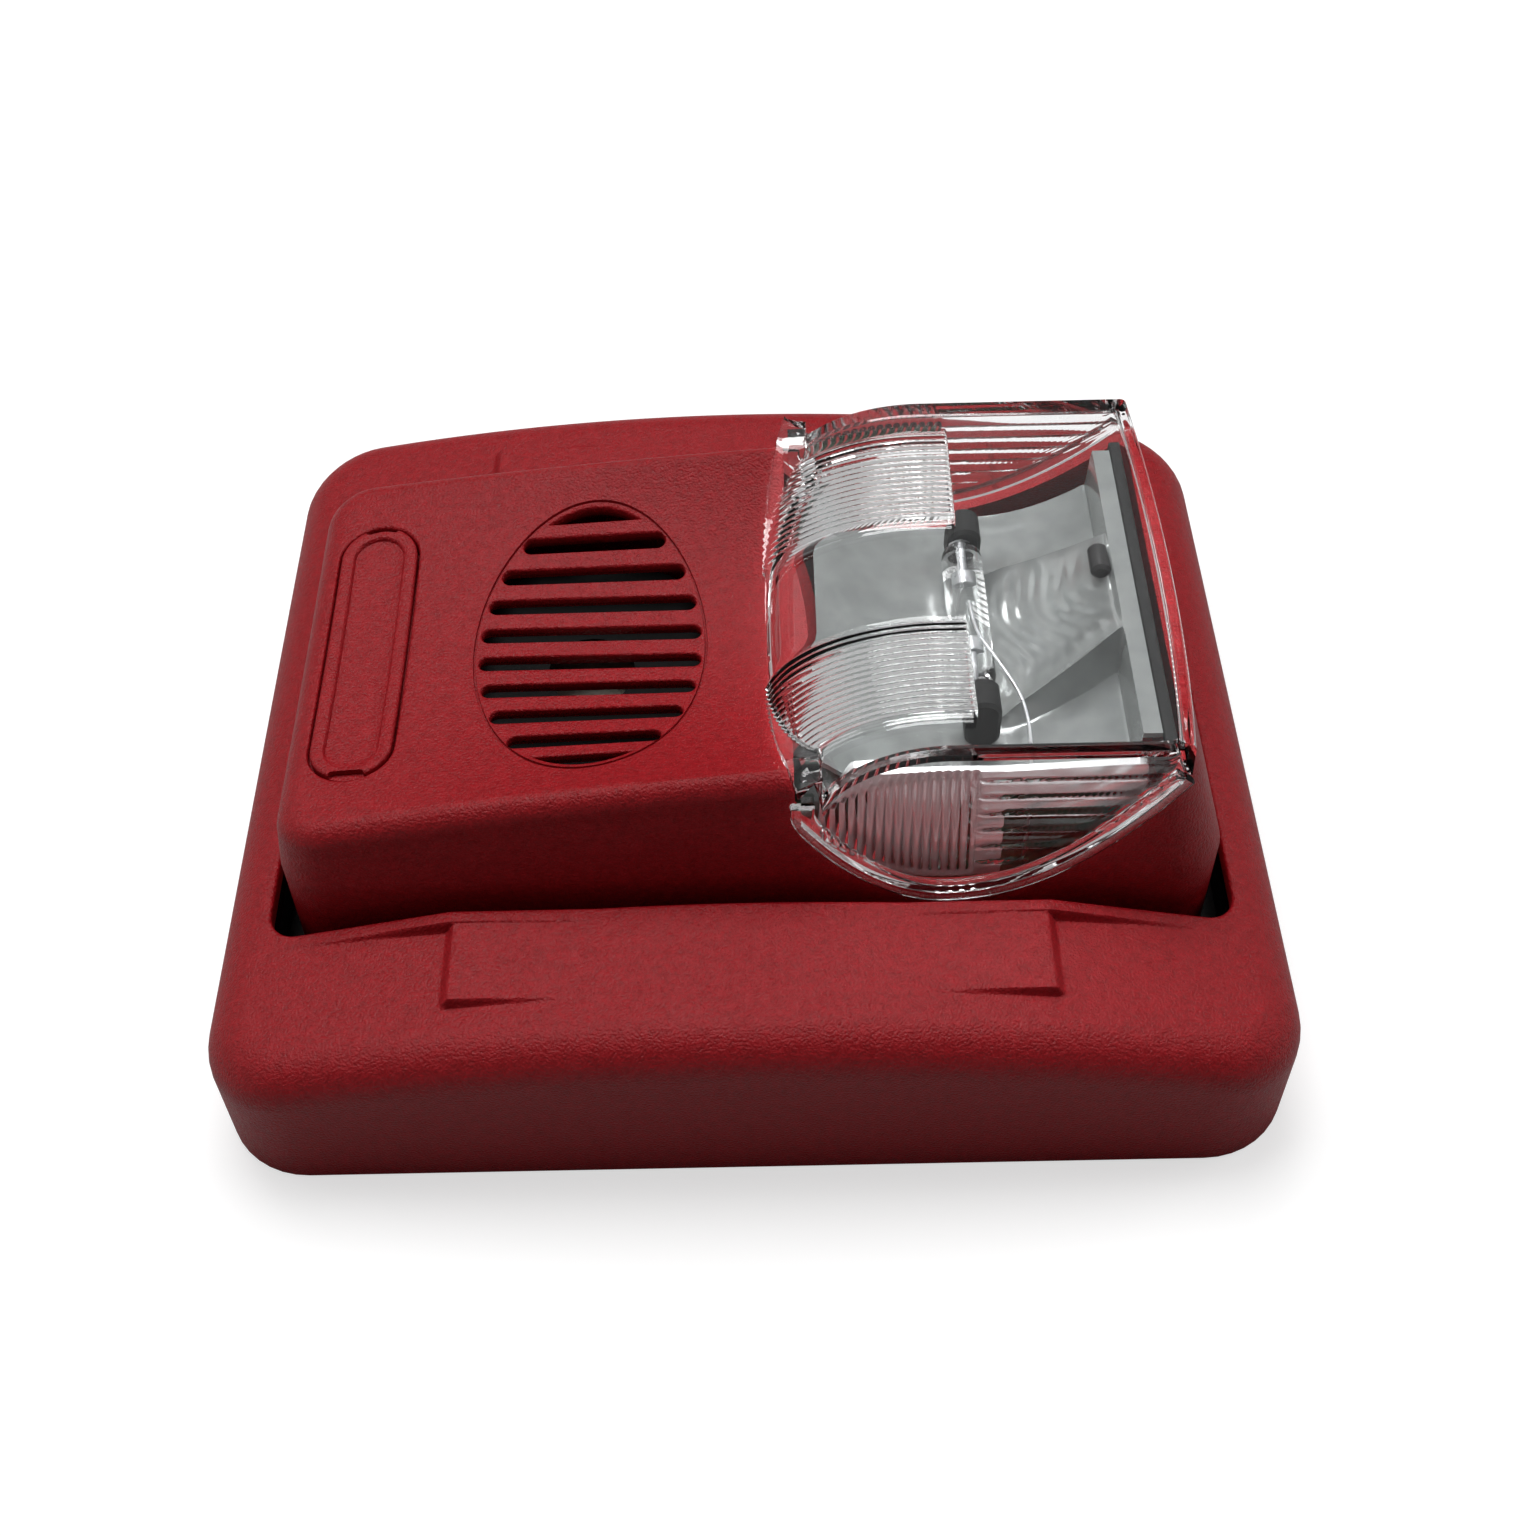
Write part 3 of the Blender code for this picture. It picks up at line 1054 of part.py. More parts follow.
def screw(name, x, y, seat, length, radius, head_radius, head_height, up, material):
    """Slotted screw whose head sits CLEAR off its seat and points up or down."""
    if up:
        profile = [
            (0.0, seat + CLEAR + head_height),
            (head_radius, seat + CLEAR + head_height),
            (head_radius, seat + CLEAR),
            (radius, seat + CLEAR),
            (radius, seat - length),
            (0.0, seat - length),
        ]
    else:
        profile = [
            (0.0, seat + length),
            (radius, seat + length),
            (radius, seat - CLEAR),
            (head_radius, seat - CLEAR),
            (head_radius, seat - CLEAR - head_height),
            (0.0, seat - CLEAR - head_height),
        ]
    piece = turned(name, profile, x, y, material)
    end = seat + CLEAR + head_height if up else seat - CLEAR - head_height
    depth = SCREW_SLOT_DEPTH
    slot = box(
        (x - 2 * head_radius, y - SCREW_SLOT_WIDTH / 2, end - depth),
        (x + 2 * head_radius, y + SCREW_SLOT_WIDTH / 2, end + depth),
    )
    combine(piece, "DIFFERENCE", tool("screw slot", slot))
    return piece


for index, (x, y) in enumerate(corners):
    screw(
        f"cover_screw_{index + 1}",
        x,
        y,
        COVER_LOW,
        COVER_SCREW_LENGTH,
        COVER_SCREW_RADIUS,
        COVER_SCREW_HEAD_RADIUS,
        COVER_SCREW_HEAD,
        False,
        steel,
    )
for index, (x, y) in enumerate(zip(board_screw_places, (-board_screw_y, board_screw_y))):
    screw(
        f"board_screw_{index + 1}",
        x,
        y,
        board_top,
        BOARD_SCREW_LENGTH,
        BOARD_SCREW_RADIUS,
        BOARD_SCREW_HEAD_RADIUS,
        BOARD_SCREW_HEAD,
        True,
        steel,
    )
well_seat = WELL_LOW + WELL_FLOOR
screw(
    "head_screw",
    badge_x,
    0.0,
    well_seat,
    well_seat - HEAD_SCREW_TIP,
    HEAD_SCREW_RADIUS,
    HEAD_SCREW_HEAD_RADIUS,
    HEAD_SCREW_HEAD,
    True,
    steel,
)

# Piezo sounder: cup, disc, crystal and cap
cup_inner = sounder_radius - SOUNDER_WALL
ledge_radius = cup_inner - SOUNDER_LEDGE
turned(
    "sounder_cup",
    [
        (sounder_radius, SOUNDER_TOP),
        (sounder_radius, board_seat),
        (ledge_radius / 2, board_seat),
        (ledge_radius / 2, board_seat + SOUNDER_FLOOR),
        (ledge_radius, board_seat + SOUNDER_FLOOR),
        (ledge_radius, SOUNDER_LEDGE_Z),
        (cup_inner, SOUNDER_LEDGE_Z),
        (cup_inner, SOUNDER_TOP),
    ],
    grille_x,
    0.0,
    black_plastic,
    SOUNDER_STEPS,
)
disc_low = SOUNDER_LEDGE_Z + CLEAR
disc_top = disc_low + SOUNDER_DISC_THICKNESS
disc_radius = cup_inner - CLEAR
turned(
    "sounder_disc",
    [(0.0, disc_top), (disc_radius, disc_top), (disc_radius, disc_low), (0.0, disc_low)],
    grille_x,
    0.0,
    brass,
    SOUNDER_STEPS,
)
crystal_low = disc_top + CLEAR
crystal_top = crystal_low + SOUNDER_CRYSTAL_THICKNESS
turned(
    "sounder_crystal",
    [
        (0.0, crystal_top),
        (crystal_radius, crystal_top),
        (crystal_radius, crystal_low),
        (0.0, crystal_low),
    ],
    grille_x,
    0.0,
    ceramic,
    SOUNDER_STEPS,
)
cap_low = SOUNDER_TOP + CLEAR
cap_high = cap_low + SOUNDER_CAP_THICKNESS
skirt_radius = cup_inner - CLEAR
skirt_low = disc_top + CLEAR
turned(
    "sounder_cap",
    [
        (sounder_radius, cap_high),
        (sounder_radius, cap_low),
        (skirt_radius, cap_low),
        (skirt_radius, skirt_low),
        (skirt_radius - SOUNDER_SKIRT, skirt_low),
        (skirt_radius - SOUNDER_SKIRT, cap_low),
        (SOUNDER_MOUTH_RADIUS, cap_low),
        (SOUNDER_MOUTH_RADIUS, cap_high),
    ],
    grille_x,
    0.0,
    black_plastic,
    SOUNDER_STEPS,
)

# Strobe circuit on top of the board
can = cylinder(CAPACITOR_RADIUS, -CAPACITOR_LENGTH / 2, CAPACITOR_LENGTH / 2, 0, 0)
rims = [e for e in can.edges if abs(e.verts[0].co.z - e.verts[1].co.z) < TINY]
can_edge = CAPACITOR_RADIUS / 8
bmesh.ops.bevel(can, geom=rims, offset=can_edge, segments=SMALL_EDGE_STEPS, profile=0.5, affect="EDGES")
can_z = board_seat + CAPACITOR_RADIUS
can_place = Matrix.Translation((capacitor_x, 0, can_z)) @ Matrix.Rotation(math.radians(90), 4, "X")
bmesh.ops.transform(can, matrix=can_place, verts=can.verts[:])
place("flash_capacitor", can, black_plastic)
coil_half = COIL_SIZE / 2
coil = box(
    (coil_x - coil_half, COIL_Y - coil_half, board_seat),
    (coil_x + coil_half, COIL_Y + coil_half, board_seat + COIL_SIZE),
)
bmesh.ops.bevel(
    coil, geom=coil.edges[:], offset=COIL_SIZE / 12, segments=SMALL_EDGE_STEPS, profile=0.5, affect="EDGES"
)
place("trigger_coil", coil, black_plastic)
choke_flange = CHOKE_HEIGHT / 5
turned(
    "boost_choke",
    [
        (0.0, board_seat + CHOKE_HEIGHT),
        (CHOKE_RADIUS, board_seat + CHOKE_HEIGHT),
        (CHOKE_RADIUS, board_seat + CHOKE_HEIGHT - choke_flange),
        (CHOKE_WAIST, board_seat + CHOKE_HEIGHT - choke_flange),
        (CHOKE_WAIST, board_seat + choke_flange),
        (CHOKE_RADIUS, board_seat + choke_flange),
        (CHOKE_RADIUS, board_seat),
        (0.0, board_seat),
    ],
    coil_x,
    CHOKE_Y,
    copper,
)
chip = box(
    (chip_x - CHIP_WIDTH / 2, -CHIP_LENGTH / 2, board_seat),
    (chip_x + CHIP_WIDTH / 2, CHIP_LENGTH / 2, board_seat + CHIP_HEIGHT),
)
bmesh.ops.bevel(chip, geom=chip.edges[:], offset=CHIP_HEIGHT / 8, segments=1, profile=0.5, affect="EDGES")
place("control_chip", chip, black_plastic)

# Terminal block behind the board, open to the wire window
under_board = BOARD_LOW - CLEAR
terminal_half_y = TERMINAL_WAYS * TERMINAL_PITCH / 2
terminal_low_corner = (TERMINAL_X - TERMINAL_DEPTH / 2, -terminal_half_y, TERMINAL_LOW)
terminal_high_corner = (TERMINAL_X + TERMINAL_DEPTH / 2, terminal_half_y, under_board)
terminal_block = place("terminal_block", box(terminal_low_corner, terminal_high_corner), black_plastic)
for way in range(TERMINAL_WAYS):
    y = (way - (TERMINAL_WAYS - 1) / 2) * TERMINAL_PITCH
    mouth_x = TERMINAL_X + TERMINAL_DEPTH / 2
    mouth_z = TERMINAL_LOW + TERMINAL_SCREW_SINK
    bore = cylinder(TERMINAL_BORE, TERMINAL_LOW - TERMINAL_DEPTH, mouth_z, TERMINAL_X, y)
    mouth = box(
        (mouth_x - WIRE_MOUTH_DEPTH, y - WIRE_MOUTH / 2, mouth_z - WIRE_MOUTH / 2),
        (mouth_x + WIRE_MOUTH_DEPTH, y + WIRE_MOUTH / 2, mouth_z + WIRE_MOUTH / 2),
    )
    combine(terminal_block, "DIFFERENCE", tool("terminal bore", bore), tool("wire mouth", mouth))
    screw_high = mouth_z - CLEAR
    screw_low = screw_high - TERMINAL_SCREW_LENGTH
    profile = [
        (0.0, screw_high),
        (TERMINAL_SCREW_RADIUS, screw_high),
        (TERMINAL_SCREW_RADIUS, screw_low),
        (0.0, screw_low),
    ]
    terminal_screw = turned(f"terminal_screw_{way + 1}", profile, TERMINAL_X, y, steel)
    drive = box(
        (TERMINAL_X - TERMINAL_DEPTH, y - SCREW_SLOT_WIDTH / 2, screw_low - SCREW_SLOT_DEPTH),
        (TERMINAL_X + TERMINAL_DEPTH, y + SCREW_SLOT_WIDTH / 2, screw_low + SCREW_SLOT_DEPTH),
    )
    combine(terminal_screw, "DIFFERENCE", tool("terminal slot", drive))
cover_window = box(
    (terminal_low_corner[0] - COVER_CUT_GAP, -terminal_half_y - COVER_CUT_GAP, 0.0),
    (terminal_high_corner[0] + COVER_CUT_GAP, terminal_half_y + COVER_CUT_GAP, lip_high),
)
combine(rear_cover, "DIFFERENCE", tool("terminal window", cover_window))


# Slide switches behind the board: a body with a slot, and a selector with a stem that runs in it
def slide_switch(body_name, selector_name, y, travel):
    slot_half = SLIDER_LENGTH / 2 + travel / 2 + RUN_CLEAR
    body_half = slot_half + SWITCH_WALL
    body_solid = box(
        (SWITCH_X - body_half, y - SWITCH_WIDTH / 2, SWITCH_LOW),
        (SWITCH_X + body_half, y + SWITCH_WIDTH / 2, under_board),
    )
    body = place(body_name, body_solid, black_plastic)
    floor = SWITCH_LOW + SWITCH_FLOOR
    channel_half = SLIDER_WIDTH / 2 + RUN_CLEAR
    channel_high = floor + SLIDER_HEIGHT + 2 * RUN_CLEAR
    channel = box(
        (SWITCH_X - slot_half, y - channel_half, floor),
        (SWITCH_X + slot_half, y + channel_half, channel_high),
    )
    stem_half = SLIDER_STEM_WIDTH / 2
    stem_slot = box(
        (SWITCH_X - slot_half, y - stem_half - RUN_CLEAR, SWITCH_LOW - SWITCH_FLOOR),
        (SWITCH_X + slot_half, y + stem_half + RUN_CLEAR, channel_high),
    )
    combine(body, "DIFFERENCE", tool("switch channel", channel), tool("switch slot", stem_slot))
    half = SLIDER_LENGTH / 2
    slider_low = floor + RUN_CLEAR
    slider_high = slider_low + SLIDER_HEIGHT
    slider = box((-half, -SLIDER_WIDTH / 2, slider_low), (half, SLIDER_WIDTH / 2, slider_high))
    selector = place(selector_name, slider, white_plastic)
    stem_low = SWITCH_LOW - SLIDER_STEM_DROP
    stem_high = (slider_low + slider_high) / 2
    stem = tool("selector stem", box((-half, -stem_half, stem_low), (half, stem_half, stem_high)))
    selector.location = (SWITCH_X - travel / 2, y, 0.0)
    stem.location = selector.location
    combine(selector, "UNION", stem)
    window = box(
        (SWITCH_X - body_half - COVER_CUT_GAP, y - SWITCH_WIDTH / 2 - COVER_CUT_GAP, 0.0),
        (SWITCH_X + body_half + COVER_CUT_GAP, y + SWITCH_WIDTH / 2 + COVER_CUT_GAP, lip_high),
    )
    combine(rear_cover, "DIFFERENCE", tool("switch window", window))


slide_switch("light_switch", "light_selector", LIGHT_SWITCH_Y, LIGHT_TRAVEL)
slide_switch("tone_switch", "tone_selector", TONE_SWITCH_Y, TONE_TRAVEL)

for piece in parts.objects:
    piece.data.shade_smooth()
    piece.data.set_sharp_from_angle(angle=math.radians(SMOOTH_ANGLE))
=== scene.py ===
# Horn strobe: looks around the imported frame. +X is the lens end, +Y away from the camera, +Z up.
# Sizes are in millimetres and turn into metres where a mesh is made.
import math

import bmesh
import bpy
import numpy as np
from mathutils import Matrix, Vector


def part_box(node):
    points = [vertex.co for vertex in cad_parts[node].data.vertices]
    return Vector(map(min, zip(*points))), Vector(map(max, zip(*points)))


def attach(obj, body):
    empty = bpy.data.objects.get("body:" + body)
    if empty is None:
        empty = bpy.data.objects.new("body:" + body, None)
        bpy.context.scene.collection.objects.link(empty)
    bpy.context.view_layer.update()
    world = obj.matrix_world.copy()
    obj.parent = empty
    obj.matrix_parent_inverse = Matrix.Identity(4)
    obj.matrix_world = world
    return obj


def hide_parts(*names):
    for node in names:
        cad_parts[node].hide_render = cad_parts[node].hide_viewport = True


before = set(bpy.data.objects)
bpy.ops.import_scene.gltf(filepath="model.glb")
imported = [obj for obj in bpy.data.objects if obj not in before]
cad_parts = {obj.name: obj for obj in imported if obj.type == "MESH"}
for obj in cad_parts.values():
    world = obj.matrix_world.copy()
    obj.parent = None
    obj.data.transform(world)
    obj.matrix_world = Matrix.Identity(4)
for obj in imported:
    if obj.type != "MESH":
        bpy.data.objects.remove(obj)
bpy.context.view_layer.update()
mm = 0.001
print("frame loaded,", len(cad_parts), "nodes")

# camera: a fitted pinhole view; target, elevation and turn are where the photograph was taken from
camSpec = dict(elevation=48.117, azimuth=0.831, roll=-1.888, distance=0.325499,
               target=(-0.000902, 0.035401, 0.0), focalPx=2019.714, centrePx=(741.985, 627.326),
               imagePx=1536, sensor=36.0)


def addCamera(spec):
    # right, up and back follow from the two angles; the roll turns right and up about back
    el, az, roll = (math.radians(spec[key]) for key in ("elevation", "azimuth", "roll"))
    back = Vector((math.sin(az) * math.cos(el), -math.cos(az) * math.cos(el), math.sin(el)))
    right = Vector((math.cos(az), math.sin(az), 0.0))
    up = back.cross(right)
    rightTurned = math.cos(roll) * right + math.sin(roll) * up
    upTurned = -math.sin(roll) * right + math.cos(roll) * up
    place = Vector(spec["target"]) + spec["distance"] * back
    turn = Matrix((rightTurned, upTurned, back)).transposed().to_4x4()
    camData = bpy.data.cameras.new("photoCamera")
    camData.sensor_width = spec["sensor"]
    camData.lens = spec["focalPx"] * spec["sensor"] / spec["imagePx"]
    camData.shift_x = (spec["imagePx"] / 2 - spec["centrePx"][0]) / spec["imagePx"]
    camData.shift_y = (spec["centrePx"][1] - spec["imagePx"] / 2) / spec["imagePx"]
    camera = bpy.data.objects.new("photoCamera", camData)
    camera.matrix_world = Matrix.Translation(place) @ turn
    bpy.context.scene.collection.objects.link(camera)
    bpy.context.scene.camera = camera


addCamera(camSpec)


def addNode(tree, kind, links=(), **values):
    # one node with its settings; each link is an input and either a socket to join to it or a plain value
    node = tree.nodes.new(kind)
    for key, value in values.items():
        setattr(node, key, value)
    for slot, source in links:
        if hasattr(source, "is_output"):
            tree.links.new(source, node.inputs[slot])
        else:
            node.inputs[slot].default_value = source
    return node


# studio: a pale floor, a weak sky that is brighter through glass, and three soft lamps
studioSpec = dict(floorHalf=3.0, floorColour=(0.5, 0.5, 0.5), floorRough=0.9, floorGlow=0.62,
                  skyStrength=0.1, throughStrength=0.5, seenStrength=1.0, aim=(0.0, 0.0, 0.03))
lampSpec = dict(
    key=dict(at=(-0.1, 0.3, 1.0), size=0.55, watts=8.2),
    side=dict(at=(0.8, 0.2, 0.6), size=0.6, watts=2.4),
    left=dict(at=(-0.8, 0.1, 0.6), size=0.6, watts=1.6),
)


def addFloor(spec):
    # one large square, which glows for the camera and through glass so that it shows as white
    corners = np.array([[-1, -1, 0], [1, -1, 0], [1, 1, 0], [-1, 1, 0]], float) * spec["floorHalf"]
    mesh = bpy.data.meshes.new("studioFloor")
    mesh.from_pydata(corners.tolist(), [], [(0, 1, 2, 3)])
    floor = bpy.data.objects.new("studioFloor", mesh)
    bpy.context.scene.collection.objects.link(floor)
    material = bpy.data.materials.new("studioFloor")
    material.use_nodes = True
    tree = material.node_tree
    shader = tree.nodes["Principled BSDF"]
    for label, value in (("Base Color", (*spec["floorColour"], 1)), ("Roughness", spec["floorRough"]),
                         ("Specular IOR Level", 0.0), ("Emission Color", (1, 1, 1, 1))):
        shader.inputs[label].default_value = value
    path = addNode(tree, "ShaderNodeLightPath")
    seen = addNode(tree, "ShaderNodeMath", [(0, path.outputs["Is Camera Ray"]),
                                            (1, path.outputs["Is Transmission Ray"])], operation="MAXIMUM")
    glow = addNode(tree, "ShaderNodeMath", [(0, seen.outputs["Value"]), (1, spec["floorGlow"])],
                   operation="MULTIPLY")
    tree.links.new(glow.outputs["Value"], shader.inputs["Emission Strength"])
    mesh.materials.append(material)


def addSky(spec):
    # one colour all round; its strength depends on whether the camera sees it, glass does, or it only lights
    world = bpy.data.worlds.new("studioSky")
    bpy.context.scene.world = world
    world.use_nodes = True
    tree = world.node_tree
    sky = tree.nodes["Background"]
    sky.inputs["Color"].default_value = (1, 1, 1, 1)
    path = addNode(tree, "ShaderNodeLightPath")
    through = addNode(tree, "ShaderNodeMix", [("Factor", path.outputs["Is Transmission Ray"]),
                                              ("A", spec["skyStrength"]), ("B", spec["throughStrength"])])
    seen = addNode(tree, "ShaderNodeMix", [("Factor", path.outputs["Is Camera Ray"]),
                                           ("A", through.outputs["Result"]), ("B", spec["seenStrength"])])
    tree.links.new(seen.outputs["Result"], sky.inputs["Strength"])


def addLamps(spec, lamps):
    # square area lamps, each turned to face the object
    for name, lamp in lamps.items():
        light = bpy.data.lights.new(name + "Lamp", "AREA")
        light.size = lamp["size"]
        light.energy = lamp["watts"]
        holder = bpy.data.objects.new(name + "Lamp", light)
        holder.location = lamp["at"]
        towards = Vector(spec["aim"]) - Vector(lamp["at"])
        holder.rotation_euler = towards.to_track_quat("-Z", "Y").to_euler()
        bpy.context.scene.collection.objects.link(holder)


addFloor(studioSpec)
addSky(studioSpec)
addLamps(studioSpec, lampSpec)
bpy.context.scene.view_settings.view_transform = "Standard"
print("camera and studio placed")


# shader groups: each gives only colours, values or heights that vary over the surface
def addGroup(name, inputs, outputs):
    tree = bpy.data.node_groups.new(name, "ShaderNodeTree")
    for label, kind, value in inputs:
        tree.interface.new_socket(label, in_out="INPUT", socket_type=kind).default_value = value
    for label, kind in outputs:
        tree.interface.new_socket(label, in_out="OUTPUT", socket_type=kind)
    return tree, tree.nodes.new("NodeGroupInput"), tree.nodes.new("NodeGroupOutput")


def grainGroup():
    # moulded grain: two noises in object space, a fine one for the pits and a broad one for the mottle
    tree, start, end = addGroup(
        "mouldedGrain",
        [("Fine", "NodeSocketFloat", 1900.0), ("Broad", "NodeSocketFloat", 90.0),
         ("Light", "NodeSocketColor", (0.5, 0.5, 0.5, 1)), ("Dark", "NodeSocketColor", (0.4, 0.4, 0.4, 1)),
         ("Smooth", "NodeSocketFloat", 0.4), ("Rough", "NodeSocketFloat", 0.55)],
        [("Colour", "NodeSocketColor"), ("Roughness", "NodeSocketFloat"), ("Height", "NodeSocketFloat")],
    )
    place = addNode(tree, "ShaderNodeTexCoord").outputs["Object"]
    fine, broad = (addNode(tree, "ShaderNodeTexNoise", [("Vector", place), ("Scale", start.outputs[label]),
                                                        ("Detail", detail)])
                   for label, detail in (("Fine", 3.0), ("Broad", 4.0)))
    both = addNode(tree, "ShaderNodeMath", [(0, fine.outputs["Fac"]), (1, broad.outputs["Fac"])],
                   operation="ADD")
    half = addNode(tree, "ShaderNodeMath", [(0, both.outputs[0]), (1, 0.5)], operation="MULTIPLY")
    shade = addNode(tree, "ShaderNodeMapRange", [("Value", half.outputs[0]), ("From Min", 0.36),
                                                 ("From Max", 0.64)])
    tint = addNode(tree, "ShaderNodeMix", [(0, shade.outputs[0]), (6, start.outputs["Dark"]),
                                           (7, start.outputs["Light"])], data_type="RGBA")
    rough = addNode(tree, "ShaderNodeMapRange", [("Value", fine.outputs["Fac"]), ("From Min", 0.3),
                                                 ("From Max", 0.7), ("To Min", start.outputs["Smooth"]),
                                                 ("To Max", start.outputs["Rough"])])
    tree.links.new(tint.outputs[2], end.inputs["Colour"])
    tree.links.new(rough.outputs[0], end.inputs["Roughness"])
    tree.links.new(fine.outputs["Fac"], end.inputs["Height"])
    return tree


grain = grainGroup()
plainSockets = dict(specular="Specular IOR Level", metal="Metallic", through="Transmission Weight",
                    bend="IOR")


def letLightThrough(material, tint):
    # shadow rays pass a clear piece, so that what is inside it is lit
    tree = material.node_tree
    shader = tree.nodes["Principled BSDF"]
    path = addNode(tree, "ShaderNodeLightPath")
    clear = addNode(tree, "ShaderNodeBsdfTransparent", [("Color", (tint, tint, tint, 1))])
    both = addNode(tree, "ShaderNodeMixShader", [(0, path.outputs["Is Shadow Ray"]), (1, shader.outputs[0]),
                                                 (2, clear.outputs[0])])
    tree.links.new(both.outputs[0], tree.nodes["Material Output"].inputs["Surface"])


def addMaterial(name, light, dark, smooth, rough, fine, broad, bump, depth=0.00006, shadowTint=None, **plain):
    # one principled shader fed by the grain group; plain values go straight on its sockets
    material = bpy.data.materials.new(name)
    material.use_nodes = True
    tree = material.node_tree
    shader = tree.nodes["Principled BSDF"]
    group = addNode(tree, "ShaderNodeGroup", node_tree=grain)
    for label, value in (("Fine", fine), ("Broad", broad), ("Light", (*light, 1)), ("Dark", (*dark, 1)),
                         ("Smooth", smooth), ("Rough", rough)):
        group.inputs[label].default_value = value
    relief = addNode(tree, "ShaderNodeBump", [("Strength", bump), ("Distance", depth),
                                              ("Height", group.outputs["Height"])])
    tree.links.new(group.outputs["Colour"], shader.inputs["Base Color"])
    tree.links.new(group.outputs["Roughness"], shader.inputs["Roughness"])
    tree.links.new(relief.outputs["Normal"], shader.inputs["Normal"])
    for label, value in plain.items():
        shader.inputs[plainSockets[label]].default_value = value
    if shadowTint:
        letLightThrough(material, shadowTint)
    return material


# finishes: two colours and two roughnesses that the grain varies between, its two scales, and the bump
finishes = dict(
    red=dict(name="redPlastic", light=(0.345, 0.007, 0.012), dark=(0.225, 0.003, 0.006), smooth=0.31,
             rough=0.5, fine=3000.0, broad=900.0, bump=1.0, depth=0.00024, specular=0.28),
    lens=dict(name="clearPlastic", light=(0.99, 0.99, 0.99), dark=(0.96, 0.965, 0.97), smooth=0.0,
              rough=0.03, fine=700.0, broad=60.0, bump=0.02, through=1.0, bend=1.5, shadowTint=0.94),
    tube=dict(name="tubeGlass", light=(0.99, 0.99, 0.99), dark=(0.95, 0.96, 0.96), smooth=0.0,
              rough=0.02, fine=500.0, broad=60.0, bump=0.02, through=1.0, bend=1.46, shadowTint=0.92),
    mirror=dict(name="mirrorFilm", light=(0.3, 0.315, 0.31), dark=(0.22, 0.235, 0.23), smooth=0.08,
                rough=0.16, fine=240.0, broad=90.0, bump=0.16, depth=0.0004, metal=0.42),
    chrome=dict(name="brightFilm", light=(0.86, 0.86, 0.86), dark=(0.76, 0.76, 0.77), smooth=0.12,
                rough=0.22, fine=300.0, broad=90.0, bump=0.08, metal=0.7),
    black=dict(name="blackPlastic", light=(0.016, 0.016, 0.017), dark=(0.01, 0.01, 0.01), smooth=0.42,
               rough=0.6, fine=2100.0, broad=120.0, bump=0.25, specular=0.3),
    # the sounder's black, darker than real black plastic: partly its own colour, partly painted shade that
    # keeps the grille's slots dark inside
    shade=dict(name="hornBlackPaintedShade", light=(0.005, 0.005, 0.0055), dark=(0.003, 0.003, 0.003), smooth=0.5,
               rough=0.7, fine=2100.0, broad=120.0, bump=0.2, specular=0.1),
    rubber=dict(name="blackRubber", light=(0.012, 0.013, 0.013), dark=(0.007, 0.007, 0.007), smooth=0.55,
                rough=0.8, fine=2600.0, broad=150.0, bump=0.3, specular=0.2),
    board=dict(name="boardGreen", light=(0.012, 0.09, 0.04), dark=(0.008, 0.06, 0.03), smooth=0.3,
               rough=0.45, fine=900.0, broad=140.0, bump=0.1),
    steel=dict(name="zincSteel", light=(0.62, 0.63, 0.64), dark=(0.5, 0.51, 0.53), smooth=0.25,
               rough=0.42, fine=1500.0, broad=200.0, bump=0.15, metal=1.0),
    brass=dict(name="brass", light=(0.72, 0.5, 0.2), dark=(0.6, 0.4, 0.15), smooth=0.25,
               rough=0.4, fine=1200.0, broad=160.0, bump=0.12, metal=1.0),
    ceramic=dict(name="ceramic", light=(0.62, 0.58, 0.5), dark=(0.55, 0.5, 0.42), smooth=0.5,
                 rough=0.7, fine=1600.0, broad=200.0, bump=0.15),
    copper=dict(name="copper", light=(0.7, 0.32, 0.17), dark=(0.55, 0.24, 0.12), smooth=0.25,
                rough=0.4, fine=1800.0, broad=300.0, bump=0.12, metal=1.0),
    white=dict(name="whitePlastic", light=(0.78, 0.78, 0.76), dark=(0.7, 0.7, 0.68), smooth=0.4,
               rough=0.55, fine=2100.0, broad=120.0, bump=0.2),
)
materials = {key: addMaterial(**finish) for key, finish in finishes.items()}
slotFinishes = dict(red_plastic="red", clear_plastic="lens", tube_glass="tube", mirror_film="mirror",
                    black_plastic="black", black_rubber="rubber", board_green="board", zinc_steel="steel",
                    brass="brass", ceramic="ceramic", copper="copper", white_plastic="white")
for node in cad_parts.values():
    for index, held in enumerate(node.data.materials):
        key = next((finish for label, finish in slotFinishes.items() if held and held.name.startswith(label)),
                   "red")
        node.data.materials[index] = materials[key]
# the sounder seen through the grille takes that darker black, partly painted shade in the slots
for name in ("sounder_cup", "sounder_cap"):
    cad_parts[name].data.materials[0] = materials["shade"]
print("materials made")


# mesh tools
def gridQuads(rows, columns):
    # quads between neighbours of a grid whose rows follow each other; the last column joins the first
    row = np.arange(rows - 1)[:, None]
    column = np.arange(columns)[None, :]
    beside = (column + 1) % columns
    return np.stack([row * columns + column, row * columns + beside, (row + 1) * columns + beside,
                     (row + 1) * columns + column], -1).reshape(-1, 4)


def cappedFaces(rows, count):
    # quads between closed loops of count points, and one face over each end
    faces = gridQuads(rows, count).tolist()
    return faces + [list(range(count)), list(range((rows - 1) * count, rows * count))]


